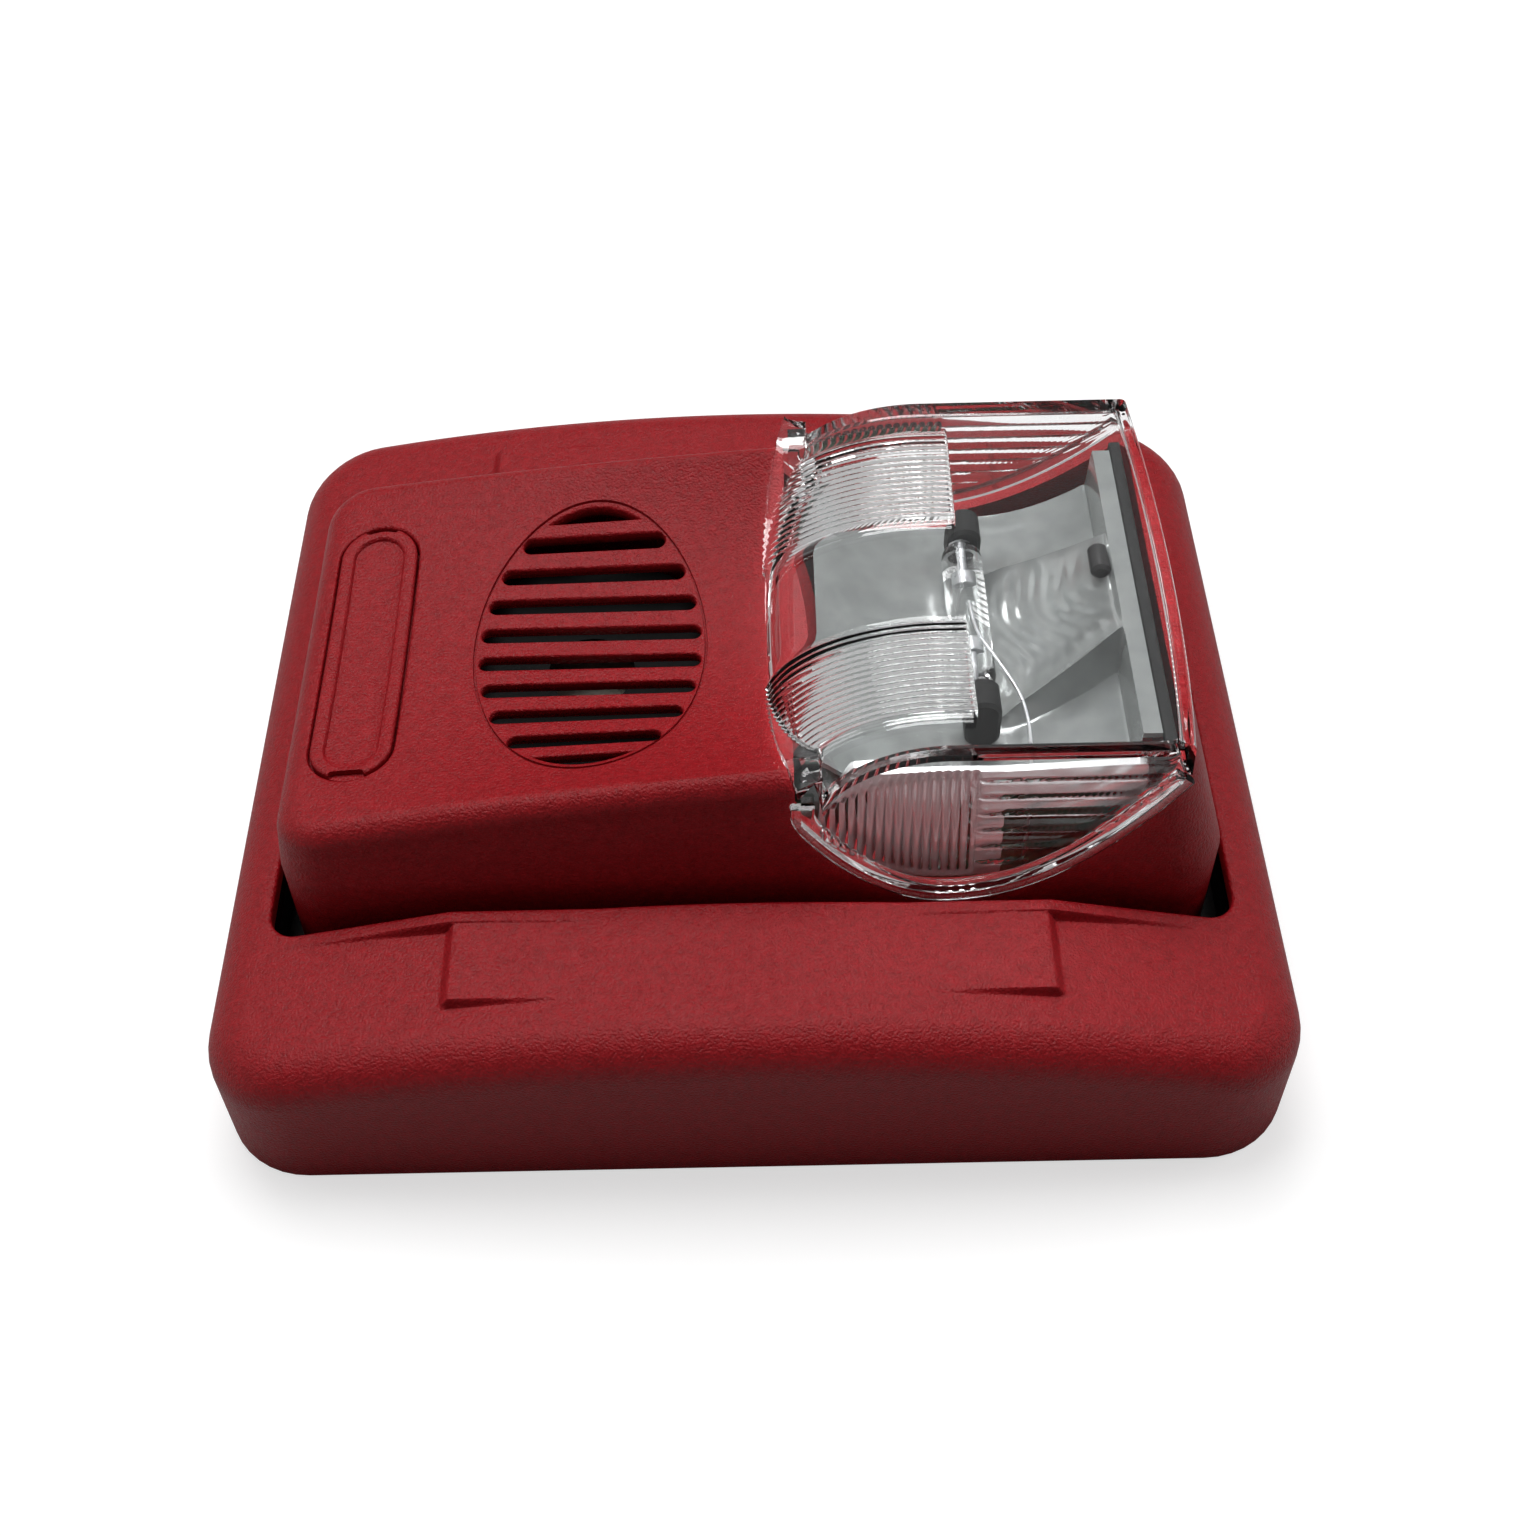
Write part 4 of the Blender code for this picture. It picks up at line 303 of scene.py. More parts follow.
def shellFaces(rows, columns):
    # quads around two sheets laid back to back, the second with its columns reversed, and over both ends
    faces = gridQuads(rows, 2 * columns).tolist()
    step = np.arange(columns - 1)
    for base in (0, (rows - 1) * 2 * columns):
        over = base + 2 * columns - 1 - step
        faces += np.stack([base + step, base + step + 1, over - 1, over], 1).tolist()
    return faces


def runs(*parts):
    # even steps joined end to end: each part is start, end and count of steps
    joined = [np.linspace(a, b, n, endpoint=False) for a, b, n in parts]
    return np.concatenate(joined + [np.array([parts[-1][1]], float)])


def smoothStep(value):
    # cubic from 0 to 1 that is level at both ends
    share = np.clip(value, 0.0, 1.0)
    return share * share * (3.0 - 2.0 * share)


def newObject(name, points, faces, sharp=35.0, weld=0.0):
    # points in millimetres; neighbours closer than weld become one, and faces turn outwards
    mesh = bpy.data.meshes.new(name)
    corners = faces if isinstance(faces, list) else faces.tolist()
    mesh.from_pydata((np.asarray(points) * mm).tolist(), [], corners)
    bm = bmesh.new()
    bm.from_mesh(mesh)
    if weld:
        bmesh.ops.remove_doubles(bm, verts=bm.verts[:], dist=weld * mm)
        bmesh.ops.dissolve_degenerate(bm, edges=bm.edges[:], dist=weld * mm)
    bmesh.ops.recalc_face_normals(bm, faces=bm.faces[:])
    bm.to_mesh(mesh)
    bm.free()
    finishShade(mesh, sharp)
    piece = bpy.data.objects.new(name, mesh)
    bpy.context.scene.collection.objects.link(piece)
    return piece


def finishShade(mesh, sharp):
    # smooth shading, except along edges that turn by more than the angle sharp
    mesh.polygons.foreach_set("use_smooth", np.ones(len(mesh.polygons), bool))
    mesh.set_sharp_from_angle(angle=math.radians(sharp))
    mesh.update()


def fit(piece, material, body, slot, *nodes):
    # finish and body of a piece, and the nodes that it stands for
    piece.data.materials.clear()
    piece.data.materials.append(materials[material])
    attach(piece, body)
    if nodes:
        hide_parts(*nodes)
    return piece


def cutAway(target, cutters, sharp=35.0):
    # takes each closed cutter out of the target and leaves one plain mesh
    for cutter in cutters:
        change = target.modifiers.new(cutter.name, "BOOLEAN")
        change.operation = "DIFFERENCE"
        change.solver = "EXACT"
        change.object = cutter
    bpy.context.view_layer.update()
    made = bpy.data.meshes.new_from_object(target.evaluated_get(bpy.context.evaluated_depsgraph_get()))
    target.modifiers.clear()
    old = target.data
    target.data = made
    made.name = target.name
    bpy.data.meshes.remove(old)
    for cutter in cutters:
        held = cutter.data
        bpy.data.objects.remove(cutter)
        bpy.data.meshes.remove(held)
    finishShade(made, sharp)


def roundedLoop(halfX, halfY, corner, alongX, alongY, steps):
    # rounded rectangle, anticlockwise from its right end; the stations share out the straight sides
    turn = np.radians(np.linspace(0, 90, steps + 1))[1:-1]
    reachX, reachY = halfX - corner, halfY - corner
    lines = []
    for quarter in range(4):
        sign = 1 if quarter < 2 else -1
        if quarter % 2 == 0:
            lines.append(np.stack([np.full(len(alongY), sign * halfX), sign * alongY * reachY], 1))
        else:
            lines.append(np.stack([-sign * alongX * reachX, np.full(len(alongX), sign * halfY)], 1))
        centre = np.array([(1, 1), (-1, 1), (-1, -1), (1, -1)][quarter]) * (reachX, reachY)
        angle = turn + quarter * math.pi / 2
        lines.append(centre + corner * np.stack([np.cos(angle), np.sin(angle)], 1))
    return np.concatenate(lines)


def middleLine(loop):
    # each point's place on the middle line of the loop's rectangle
    half = loop.max(0)
    spare = np.maximum(half - half.min(), 0.0)
    return np.clip(loop, -spare, spare)


def turned(profile, centre, axis, steps):
    # profile of (distance along, radius) pairs turned about an axis through centre
    axis = np.asarray(axis, float)
    side = np.cross(axis, (0.0, 0.0, 1.0) if abs(axis[2]) < 0.9 else (1.0, 0.0, 0.0))
    side /= np.linalg.norm(side)
    other = np.cross(axis, side)
    angle = np.linspace(0, 2 * math.pi, steps, endpoint=False)
    around = np.cos(angle)[:, None] * side + np.sin(angle)[:, None] * other
    profile = np.asarray(profile, float)
    points = np.asarray(centre) + profile[:, 0, None, None] * axis + profile[:, 1, None, None] * around
    return points.reshape(-1, 3), gridQuads(len(profile), steps)


def swept(path, section, acrossAxis):
    # section of (in plane, across) offsets carried along a path that runs mainly square to acrossAxis
    path = np.asarray(path, float)
    across = np.asarray(acrossAxis, float)
    ahead = np.gradient(path, axis=0)
    ahead /= np.linalg.norm(ahead, axis=1)[:, None]
    inward = np.cross(across, ahead)
    inward /= np.linalg.norm(inward, axis=1)[:, None]
    section = np.asarray(section, float)
    points = path[:, None] + section[None, :, 0, None] * inward[:, None] + section[None, :, 1, None] * across
    return points.reshape(-1, 3), cappedFaces(len(path), len(section))


def roundedSection(lowA, highA, lowB, highB, radius, steps):
    # rounded rectangle between two limits each way
    ends = np.array([-1.0, 1.0])
    loop = roundedLoop((highA - lowA) / 2, (highB - lowB) / 2, radius, ends, ends, steps)
    return loop + ((lowA + highA) / 2, (lowB + highB) / 2)


# trim frame
frameSpec = dict(halfX=70.0, halfY=59.0, corner=12.0, edge=6.0, wall=2.4, midHeight=28.0, endHeight=20.2,
                 openX=62.8, openY=36.5, openCorner=4.0, openEdge=0.5, padHalf=38.2, padTop=27.2,
                 padOuter=49.7, padStep=1.5, stripWidth=2.0, stripEnd=59.5, stripRise=0.2, step=0.55,
                 footRound=0.35, skirtDrop=2.0, endFine=1.0, sideFine=0.6)


def crown(x, spec):
    # parabola along the length, highest in the middle
    return spec["endHeight"] + (spec["midHeight"] - spec["endHeight"]) * (1.0 - (x / spec["halfX"]) ** 2)


def frameTop(x, y, spec):
    # the crown, or the flat pad or the rim strip where one of them stands above it, with short slopes between
    base = crown(x, spec)
    away, along, step = np.abs(y), np.abs(x), spec["step"]
    padEnds = smoothStep((spec["padHalf"] - along) / spec["padStep"] + 0.5)
    padMask = padEnds * smoothStep((spec["padOuter"] - away) / step + 0.5)
    pad = np.maximum(spec["padTop"] - base, 0.0) * padMask
    foot = crown(spec["stripEnd"], spec)
    share = np.clip((spec["stripEnd"] - along) / (spec["stripEnd"] - spec["padHalf"]), 0.0, 1.0)
    line = foot + (spec["padTop"] + spec["stripRise"] - foot) * share
    stripMask = smoothStep((spec["openY"] + spec["stripWidth"] - away) / step + 0.5)
    strip = np.maximum(line - base, 0.0) * stripMask * (along < spec["stripEnd"])
    return base + np.maximum(pad, strip)


def makeFrame(spec):
    # a closed ring carried round the outline: outer wall, rounded edge, top, opening, underside, inner wall
    near, half, fine = spec["padHalf"], spec["halfX"] - spec["corner"], spec["endFine"]
    side = runs((0, near - fine, 46), (near - fine, near + fine, 14), (near + fine, half, 26)) / half
    alongX = np.concatenate([-side[::-1], side[1:]])
    alongY = np.linspace(-1, 1, 41)
    rows = []

    def loop(inset):
        return roundedLoop(spec["halfX"] - inset, spec["halfY"] - inset, spec["corner"] - inset,
                           alongX, alongY, 10)

    def opening(grow):
        return roundedLoop(spec["openX"] + grow, spec["openY"] + grow, spec["openCorner"] + grow,
                           alongX, alongY, 10)

    def level(flat, height):
        rows.append(np.column_stack([flat, np.broadcast_to(height, len(flat))]))

    outer, foot, edge = loop(0.0), spec["footRound"], spec["edge"]
    level(loop(foot), 0.0)
    level(outer, foot)
    for share in (0.25, 0.5, 0.75):
        level(outer, foot + (crown(outer[:, 0], spec) - edge - foot) * share)
    for angle in np.radians(np.linspace(0, 90, 12)):
        flat = loop(edge * (1 - math.cos(angle)))
        level(flat, crown(flat[:, 0], spec) - edge * (1 - math.sin(angle)))
    start, stop = loop(edge), opening(spec["openEdge"])
    depth = spec["halfY"] - edge - spec["openY"] - spec["openEdge"]
    toPad = spec["halfY"] - edge - spec["padOuter"]
    toStrip = depth + spec["openEdge"] - spec["stripWidth"]
    close = spec["sideFine"]
    shares = runs((0, toPad - close, 6), (toPad - close, toPad + close, 8),
                  (toPad + close, toStrip - close, 26), (toStrip - close, toStrip + close, 8),
                  (toStrip + close, depth, 3)) / depth
    for share in shares[1:]:
        flat = start + (stop - start) * share
        level(flat, frameTop(flat[:, 0], flat[:, 1], spec))
    rim = frameTop(stop[:, 0], stop[:, 1], spec)
    for angle in np.radians((30, 60, 90)):
        inward, sink = spec["openEdge"] * (1 - math.sin(angle)), spec["openEdge"] * (1 - math.cos(angle))
        level(opening(inward), rim - sink)
    level(opening(0.0), crown(stop[:, 0], spec) - spec["wall"])
    under = loop(spec["wall"])
    level(under, crown(under[:, 0], spec) - spec["wall"] - spec["skirtDrop"])
    level(under, 0.0)
    points = np.concatenate(rows)
    faces = gridQuads(len(rows) + 1, len(outer)) % len(points)
    return fit(newObject("trimFrame", points, faces), "red", "base", "red_plastic", "trim_frame")


makeFrame(frameSpec)
print("trim frame made")

# head housing: its own sizes, and those of the lens that its top and its notch also follow
headSpec = dict(halfX=61.0, halfY=34.2, corner=7.0, edge=2.4, edgeRound=3.3, innerRound=1.1, wall=2.2,
                low=8.8, floor=36.0, footLean=1.2, endLean=5.6, leanReach=16.0, leanLow=28.5, sideLean=0.19,
                edgeRight=47.8, leastCorner=0.4, gap=0.3, notchGap=0.45, notchEnd=2.0, cutHigh=70.0,
                cutWide=40.0, stations=((-58.8, 36.9), (2.8, 45.0), (54.3, 47.8)))
lensSpec = dict(top=50.0, wall=2.0, frontX=2.8, endX=54.3, saddle=1.3, length=22.2, rise=13.8, legX=6.2,
                legZ=39.7, lowX=25.0, lowZ=27.3, tip=46.2)


def edgeHeight(x, spec):
    # parabola through three stations along the long edges
    (xa, za), (xb, zb), (xc, zc) = spec["stations"]
    height = za * (x - xb) * (x - xc) / ((xa - xb) * (xa - xc))
    height = height + zb * (x - xa) * (x - xc) / ((xb - xa) * (xb - xc))
    return height + zc * (x - xa) * (x - xb) / ((xc - xa) * (xc - xb))


def sideDraw(x, spec):
    # share of the half width that is left at the top edge, because the long sides lean in
    return 1.0 - spec["sideLean"] * (edgeHeight(x, spec) - spec["leanLow"]) / spec["halfY"]


def headTop(x, y, spec=headSpec, lens=lensSpec):
    # saddle: the edge height less a parabola across, which fades out below the lens
    edge = edgeHeight(x, spec)
    crest = (spec["halfY"] - spec["edge"]) * sideDraw(x, spec)
    across = np.minimum(np.abs(y) / crest, 1.0)
    span = lens["endX"] - lens["legX"] - 2 * lens["wall"]
    fade = 1.0 - smoothStep((x - lens["legX"] - lens["wall"]) / span)
    return edge - fade * np.maximum(edge - spec["floor"], 0.0) * (1.0 - across**2)


def notchEdge(x, lens):
    # two half parabolas that meet at the lowest point of the lens's side
    lowX, lowZ = lens["lowX"], lens["lowZ"]
    left = lowZ + (lens["legZ"] - lowZ) * ((x - lowX) / (lowX - lens["legX"])) ** 2
    right = lowZ + (lens["tip"] - lowZ) * ((x - lowX) / (lens["endX"] - lowX)) ** 2
    return np.where(x < lowX, left, right)


def headRows(spec, inset, sink, edge, low):
    # wall, rounded edge and saddle, row by row from the low rim to the middle line
    alongX, alongY = np.linspace(-1, 1, 121), np.linspace(-1, 1, 61)
    reachStart = spec["halfX"] - spec["leanReach"]

    def loop(more):
        corner = max(spec["corner"] - inset - more, spec["leastCorner"])
        return roundedLoop(spec["halfX"] - inset - more, spec["halfY"] - inset - more, corner,
                           alongX, alongY, 10)

    def shaped(flat, rise, share):
        x, y = flat[:, 0], flat[:, 1]
        yIn = y * sideDraw(x, spec)
        z = headTop(x, yIn) - sink + rise
        reach = np.clip((np.abs(x) - reachStart) / spec["leanReach"], 0.0, 1.0)
        tall = (z - spec["leanLow"]) / (spec["edgeRight"] - spec["leanLow"])
        xIn = x - np.where(x > 0, spec["endLean"], -spec["footLean"]) * reach * tall
        foot = np.column_stack([x, y, np.full(len(x), spec["leanLow"])])
        return foot + share * (np.column_stack([xIn, yIn, z]) - foot)

    wall = loop(0.0)
    rows = [np.column_stack([wall, np.full(len(wall), low)])]
    rows += [shaped(wall, -edge, share) for share in np.linspace(0, 1, 7)]
    for angle in np.radians(np.linspace(0, 90, 8))[1:]:
        rows.append(shaped(loop(edge * (1 - math.cos(angle))), edge * (math.sin(angle) - 1), 1.0))
    start = loop(edge)
    for share in np.linspace(0, 1, 41)[1:]:
        rows.append(shaped(start + (middleLine(start) - start) * share, 0.0, 1.0))
    return rows


grilleSpec = dict(x=-21.1, halfX=15.75, halfY=24.0, slots=8, pitch=5.05, width=2.35, margin=0.6,
                  crescentMargin=0.6, crescentWidth=3.5, groove=0.27, grooveDepth=0.4, grooveProud=0.4,
                  flare=((1.0, 0.3), (0.02, 0.24), (-0.05, 0.14), (-0.18, 0.04), (-0.35, 0.0), (-1.0, 0.0),
                         (-1.05, 0.5), (-5.0, 0.5)))
badgeSpec = dict(x=-51.7, halfX=5.4, halfY=22.5, straight=0.01, gap=0.3, floor=35.0, proud=0.35, rim=1.9,
                 edge=0.45, fieldSteps=((-0.35, 0.0), (-0.15, 0.08), (0.0, 0.3), (0.1, 0.62), (0.25, 0.7)),
                 mouth=((0.3, 1.0), (0.3, 0.02), (0.1, -0.12), (0.0, -0.35)),
                 pryHalf=2.4, pryWide=0.6, pryInset=0.55, pryHigh=2.0, pryDepth=0.55)
wellSpec = dict(low=14.0, high=34.9, bore=4.3, outside=5.6, cutLow=13.2, cutTall=50.0)


def obround(x, y, halfLong, halfWide, grow, steps):
    # outline along X with round ends
    turn = np.linspace(-90, 90, steps)
    angle = np.radians(np.concatenate([turn, turn + 180]))
    reach = np.where(np.arange(2 * steps) < steps, halfLong - halfWide, halfWide - halfLong)
    radius = halfWide + grow
    return np.column_stack([x + reach + radius * np.cos(angle), y + radius * np.sin(angle)])


def crescent(spec, turn, grow, steps):
    # the piece of a smaller ellipse beyond a straight cut
    scale = 1.0 - spec["crescentMargin"] / spec["halfX"]
    low = (spec["slots"] + 1) / 2 * spec["pitch"] - spec["crescentWidth"] / 2 - grow
    a, b = spec["halfX"] * scale + grow, spec["halfY"] * scale + grow
    start = math.degrees(math.asin(low / b))
    angle = np.radians(np.linspace(start, 180 - start, steps) + turn)
    return np.column_stack([spec["x"] + a * np.cos(angle), b * np.sin(angle)])


def drapedStack(name, outlineAt, levels):
    # loops that follow the saddle at several heights, closed by a fan at each end
    rows = [np.column_stack([flat, headTop(flat[:, 0], flat[:, 1]) + height])
            for height, flat in ((height, outlineAt(grow)) for height, grow in levels)]
    count = len(rows[0])
    points = np.concatenate(rows + [rows[0].mean(0)[None], rows[-1].mean(0)[None]])
    faces = gridQuads(len(rows), count).tolist()
    last = (len(rows) - 1) * count
    ring = np.arange(count)
    beside = (ring + 1) % count
    faces += np.stack([ring, beside, np.full(count, len(points) - 2)], 1).tolist()
    faces += np.stack([last + beside, last + ring, np.full(count, len(points) - 1)], 1).tolist()
    return newObject(name, points, faces)


def badgeLoop(badge, grow, stations):
    # the badge's obround outline about the origin, widened by grow
    halfX, halfY = badge["halfX"] + grow, badge["halfY"] + grow
    return roundedLoop(halfX, halfY, halfX - badge["straight"], np.array([-1.0, 1.0]),
                       np.linspace(-1, 1, stations), 14)


def notchCutter(spec, lens):
    # what lies above the lens's lower edge, carried across the head
    x = runs((lens["legX"] - spec["gap"], lens["endX"] + spec["notchEnd"] + spec["gap"], 90))
    low = np.minimum(notchEdge(x, lens) - spec["notchGap"], lens["tip"])
    high, wide = np.full(len(x), spec["cutHigh"]), spec["cutWide"]
    lines = [np.column_stack([x, np.full(len(x), y), z])
             for y, z in ((-wide, low), (wide, low), (wide, high), (-wide, high))]
    return newObject("notchCut", np.stack(lines, 1).reshape(-1, 3), cappedFaces(len(x), 4))


def grilleCutters(grille):
    # flared slots, a crescent beyond them at each end, and a groove of four ellipses around them all
    cutters = []
    for index in range(grille["slots"]):
        y = (index - (grille["slots"] - 1) / 2) * grille["pitch"]
        chord = grille["halfX"] * math.sqrt(1 - (y / grille["halfY"]) ** 2) - grille["margin"]
        outline = lambda grow, y=y, chord=chord: obround(grille["x"], y, chord, grille["width"] / 2, grow, 13)
        cutters.append(drapedStack("slotCut", outline, grille["flare"]))
    for turn in (0, 180):
        outline = lambda grow, turn=turn: crescent(grille, turn, grow, 25)
        cutters.append(drapedStack("crescentCut", outline, grille["flare"]))
    angle = np.linspace(0, 2 * math.pi, 160, endpoint=False)
    proud, deep = grille["grooveProud"], -grille["grooveDepth"]
    ring = []
    for side, height in ((-1, proud), (1, proud), (0.5, deep), (-0.5, deep)):
        a, b = grille["halfX"] + side * grille["groove"], grille["halfY"] + side * grille["groove"]
        x, y = grille["x"] + a * np.cos(angle), b * np.sin(angle)
        ring.append(np.column_stack([x, y, headTop(x, y) + height]))
    faces = gridQuads(len(ring) + 1, len(angle)) % (len(ring) * len(angle))
    return cutters + [newObject("grooveCut", np.concatenate(ring), faces)]


def pocketCutter(badge):
    # the badge's pocket: a softened mouth on the saddle, straight sides and a flat floor
    pocket = lambda more: badgeLoop(badge, badge["gap"] + more, 41) + (badge["x"], 0)
    top = pocket(0.0)
    saddle = headTop(top[:, 0], top[:, 1])
    rows = [np.column_stack([pocket(more), saddle + rise]) for more, rise in badge["mouth"]]
    rows.append(np.column_stack([top, np.full(len(top), badge["floor"])]))
    return newObject("badgeCut", np.concatenate(rows), cappedFaces(len(rows), len(top)))


def makeHousing(spec, grille, badge, lens, well):
    # an outer and an inner saddle joined at the low rim, less the notch, grille, pocket and screw's bore
    outer = headRows(spec, 0.0, 0.0, spec["edgeRound"], spec["low"])
    inner = headRows(spec, spec["wall"], spec["wall"], spec["innerRound"], spec["low"])
    faces = gridQuads(len(outer) + len(inner), len(outer[0]))
    housing = newObject("frontHousing", np.concatenate(outer[::-1] + inner), faces, weld=0.01)
    cutters = [notchCutter(spec, lens)] + grilleCutters(grille) + [pocketCutter(badge)]
    profile = ((0.0, 0.0), (0.0, well["bore"]), (well["cutTall"], well["bore"]), (well["cutTall"], 0.0))
    points, faces = turned(profile, (badge["x"], 0, well["cutLow"]), (0, 0, 1), 40)
    cutters.append(newObject("wellCut", points, faces, weld=0.001))
    cutAway(housing, cutters)
    return fit(housing, "red", "head", "red_plastic", "front_housing")


def makeWell(spec, badge):
    # sleeve around the screw below the badge: a closed ring section turned about the screw's axis
    tall, bore, outside = spec["high"] - spec["low"], spec["bore"], spec["outside"]
    profile = ((0.0, bore), (0.0, outside), (tall, outside), (tall, bore), (0.0, bore))
    points, faces = turned(profile, (badge["x"], 0, spec["low"]), (0, 0, 1), 48)
    sleeve = newObject("screwWell", points, faces, weld=0.001)
    return fit(sleeve, "red", "head", "red_plastic", "front_housing")


makeHousing(headSpec, grilleSpec, badgeSpec, lensSpec, wellSpec)
makeWell(wellSpec, badgeSpec)
print("housing made")


def makeBadge(badge):
    # obround plate on the saddle: foot, side, rounded rim, sunk field, in to the middle line
    rows = []

    def loop(inset):
        return badgeLoop(badge, -inset, 61)

    def saddle(flat):
        return headTop(flat[:, 0] + badge["x"], flat[:, 1]) + badge["proud"]

    def level(flat, height):
        rows.append(np.column_stack([flat + (badge["x"], 0), np.broadcast_to(height, len(flat))]))

    base = loop(0.0)
    level(middleLine(base), badge["floor"] + badge["gap"])
    level(base, badge["floor"] + badge["gap"])
    for angle in np.radians(np.linspace(0, 90, 6)):
        flat = loop(badge["edge"] * (1 - math.cos(angle)))
        level(flat, saddle(flat) - badge["edge"] * (1 - math.sin(angle)))
    for beyond, sink in badge["fieldSteps"]:
        start = loop(badge["rim"] + beyond)
        level(start, saddle(start) - sink)
    for share in (0.35, 0.7, 1.0):
        flat = start + (middleLine(start) - start) * share
        level(flat, saddle(flat) - sink)
    plate = newObject("badgePlate", np.concatenate(rows), gridQuads(len(rows), len(base)), weld=0.02)
    cuts = []
    for end in (-1, 1):
        y = end * (badge["halfY"] - badge["pryInset"])
        outline = lambda grow, y=y: obround(badge["x"], y, badge["pryHalf"], badge["pryWide"], grow, 9)
        cuts.append(drapedStack("pryCut", outline, ((badge["pryHigh"], 0.0), (-badge["pryDepth"], 0.0))))
    cutAway(plate, cuts)
    return fit(plate, "red", "badge", "red_plastic", "badge_plate")


makeBadge(badgeSpec)
print("badge made")

# strobe lens: ribs on the curved front, ribs and ledges on the sides, fine ribs inside the end
lensSpec.update(bow=3.4, sideOut=1.04, sideWall=1.6, edge=1.1, endStation=52.2, endWall=1.0, endBow=1.8,
                borderLift=1.3, frontReach=3.0, footWall=0.15, seatLift=0.02, sideInset=1.2, tipDrop=0.2,
                innerDrop=0.6)
lensSpec.update(ribs=16, ribInner=9.3, ribOuter=25.0, ribEnd=28.5, ribStep=0.2, ribBase=0.3, ribHeight=0.42,
                ribLow=36.4, ribGrow=2.0, ribStop=0.3, endRibs=64, endRibHeight=0.07, endRibShare=0.93,
                endReach=0.05)
lensSpec.update(sideRibs=17, sideRibStart=9.0, sideRibHeight=0.45, ledgeLow=35.0, ledgePitch=2.7,
                sideLedgeHeight=0.4, ledgeFade=0.6, sideStart=0.4, sideStop=1.0, sideGap=0.1, visorGap=0.06,
                sideLeast=0.25, sideSunk=0.3, bandLow=0.12, bandHigh=0.94, bandFade=0.08)
rimSpec = dict(riseTop=42.3, riseLow=40.6, riseSteps=8, start=0.35, stop=0.4, inside=-1.0, outside=2.1,
               proud=1.45, edge=0.5, smoothings=3)


def wallLine(z, spec=headSpec):
    # half width of the leaning long sides at a height
    return spec["halfY"] - spec["sideLean"] * (z - spec["leanLow"])


def lensHalf(z):
    # half width of the lens, a little outside the head's sides
    return wallLine(z) + lensSpec["sideOut"]


def lensProfile(lens):
    # outer outline in X and Z, with its outward normals: an elliptic front from its foot up, a flat top and a
    # rounded end
    turn = np.radians(180 - runs((0, 12, 8), (12, 60, 58), (60, 90, 56)))
    front = np.column_stack([lens["frontX"] + lens["length"] * (1 + np.cos(turn)),
                             lens["top"] - lens["rise"] * (1 - np.sin(turn))])
    radius = lens["edge"]
    stepLow, stepHigh = lens["ribEnd"] - lens["ribStep"], lens["ribEnd"] + lens["ribStep"]
    flatX = runs((lens["lowX"], stepLow, 14), (stepLow, stepHigh, 5), (stepHigh, lens["endStation"], 22),
                 (lens["endStation"], lens["endX"] - radius, 5))[1:]
    flat = np.column_stack([flatX, np.full(len(flatX), lens["top"])])
    angle = np.radians(np.linspace(90, 0, 7))[1:]
    centre = np.array([lens["endX"] - radius, lens["top"] - radius])
    back = centre + radius * np.column_stack([np.cos(angle), np.sin(angle)])
    end = np.array([[lens["endX"], lens["tip"]]])
    outline = np.concatenate([front, flat, back, end])
    ahead = np.gradient(outline, axis=0)
    normal = np.column_stack([-ahead[:, 1], ahead[:, 0]])
    return outline, normal / np.linalg.norm(normal, axis=1)[:, None]


def visorSheet(lens, outline, share):
    # carries an outline across Y: bowed at the front, lifted at the sides, drawn in as the sides lean
    x, z = outline[..., 0], outline[..., 1]
    fade = np.clip((lens["lowX"] - x) / lens["length"], 0.0, 1.0)
    rise = np.clip((z - lens["top"] + lens["rise"]) / lens["rise"], 0.0, 1.0)
    zOut = z + lens["saddle"] * share**2 * rise
    endFade = smoothStep((x - lens["ribEnd"]) / (lens["endX"] - lens["ribEnd"]))
    xOut = x + lens["bow"] * np.abs(share) ** 3 * fade + lens["endBow"] * (1.0 - share**2) * endFade
    return np.stack([xOut, share * lensHalf(zOut), zOut], -1)


def raisedFront(sheet, lens, lift):
    # keeps the foot of a sheet's curved front at or above the saddle
    seat = headTop(sheet[..., 0], sheet[..., 1]) + lift
    front = sheet[..., 0] < lens["legX"] + lens["frontReach"]
    sheet[..., 2] = np.where(front, np.maximum(sheet[..., 2], seat), sheet[..., 2])


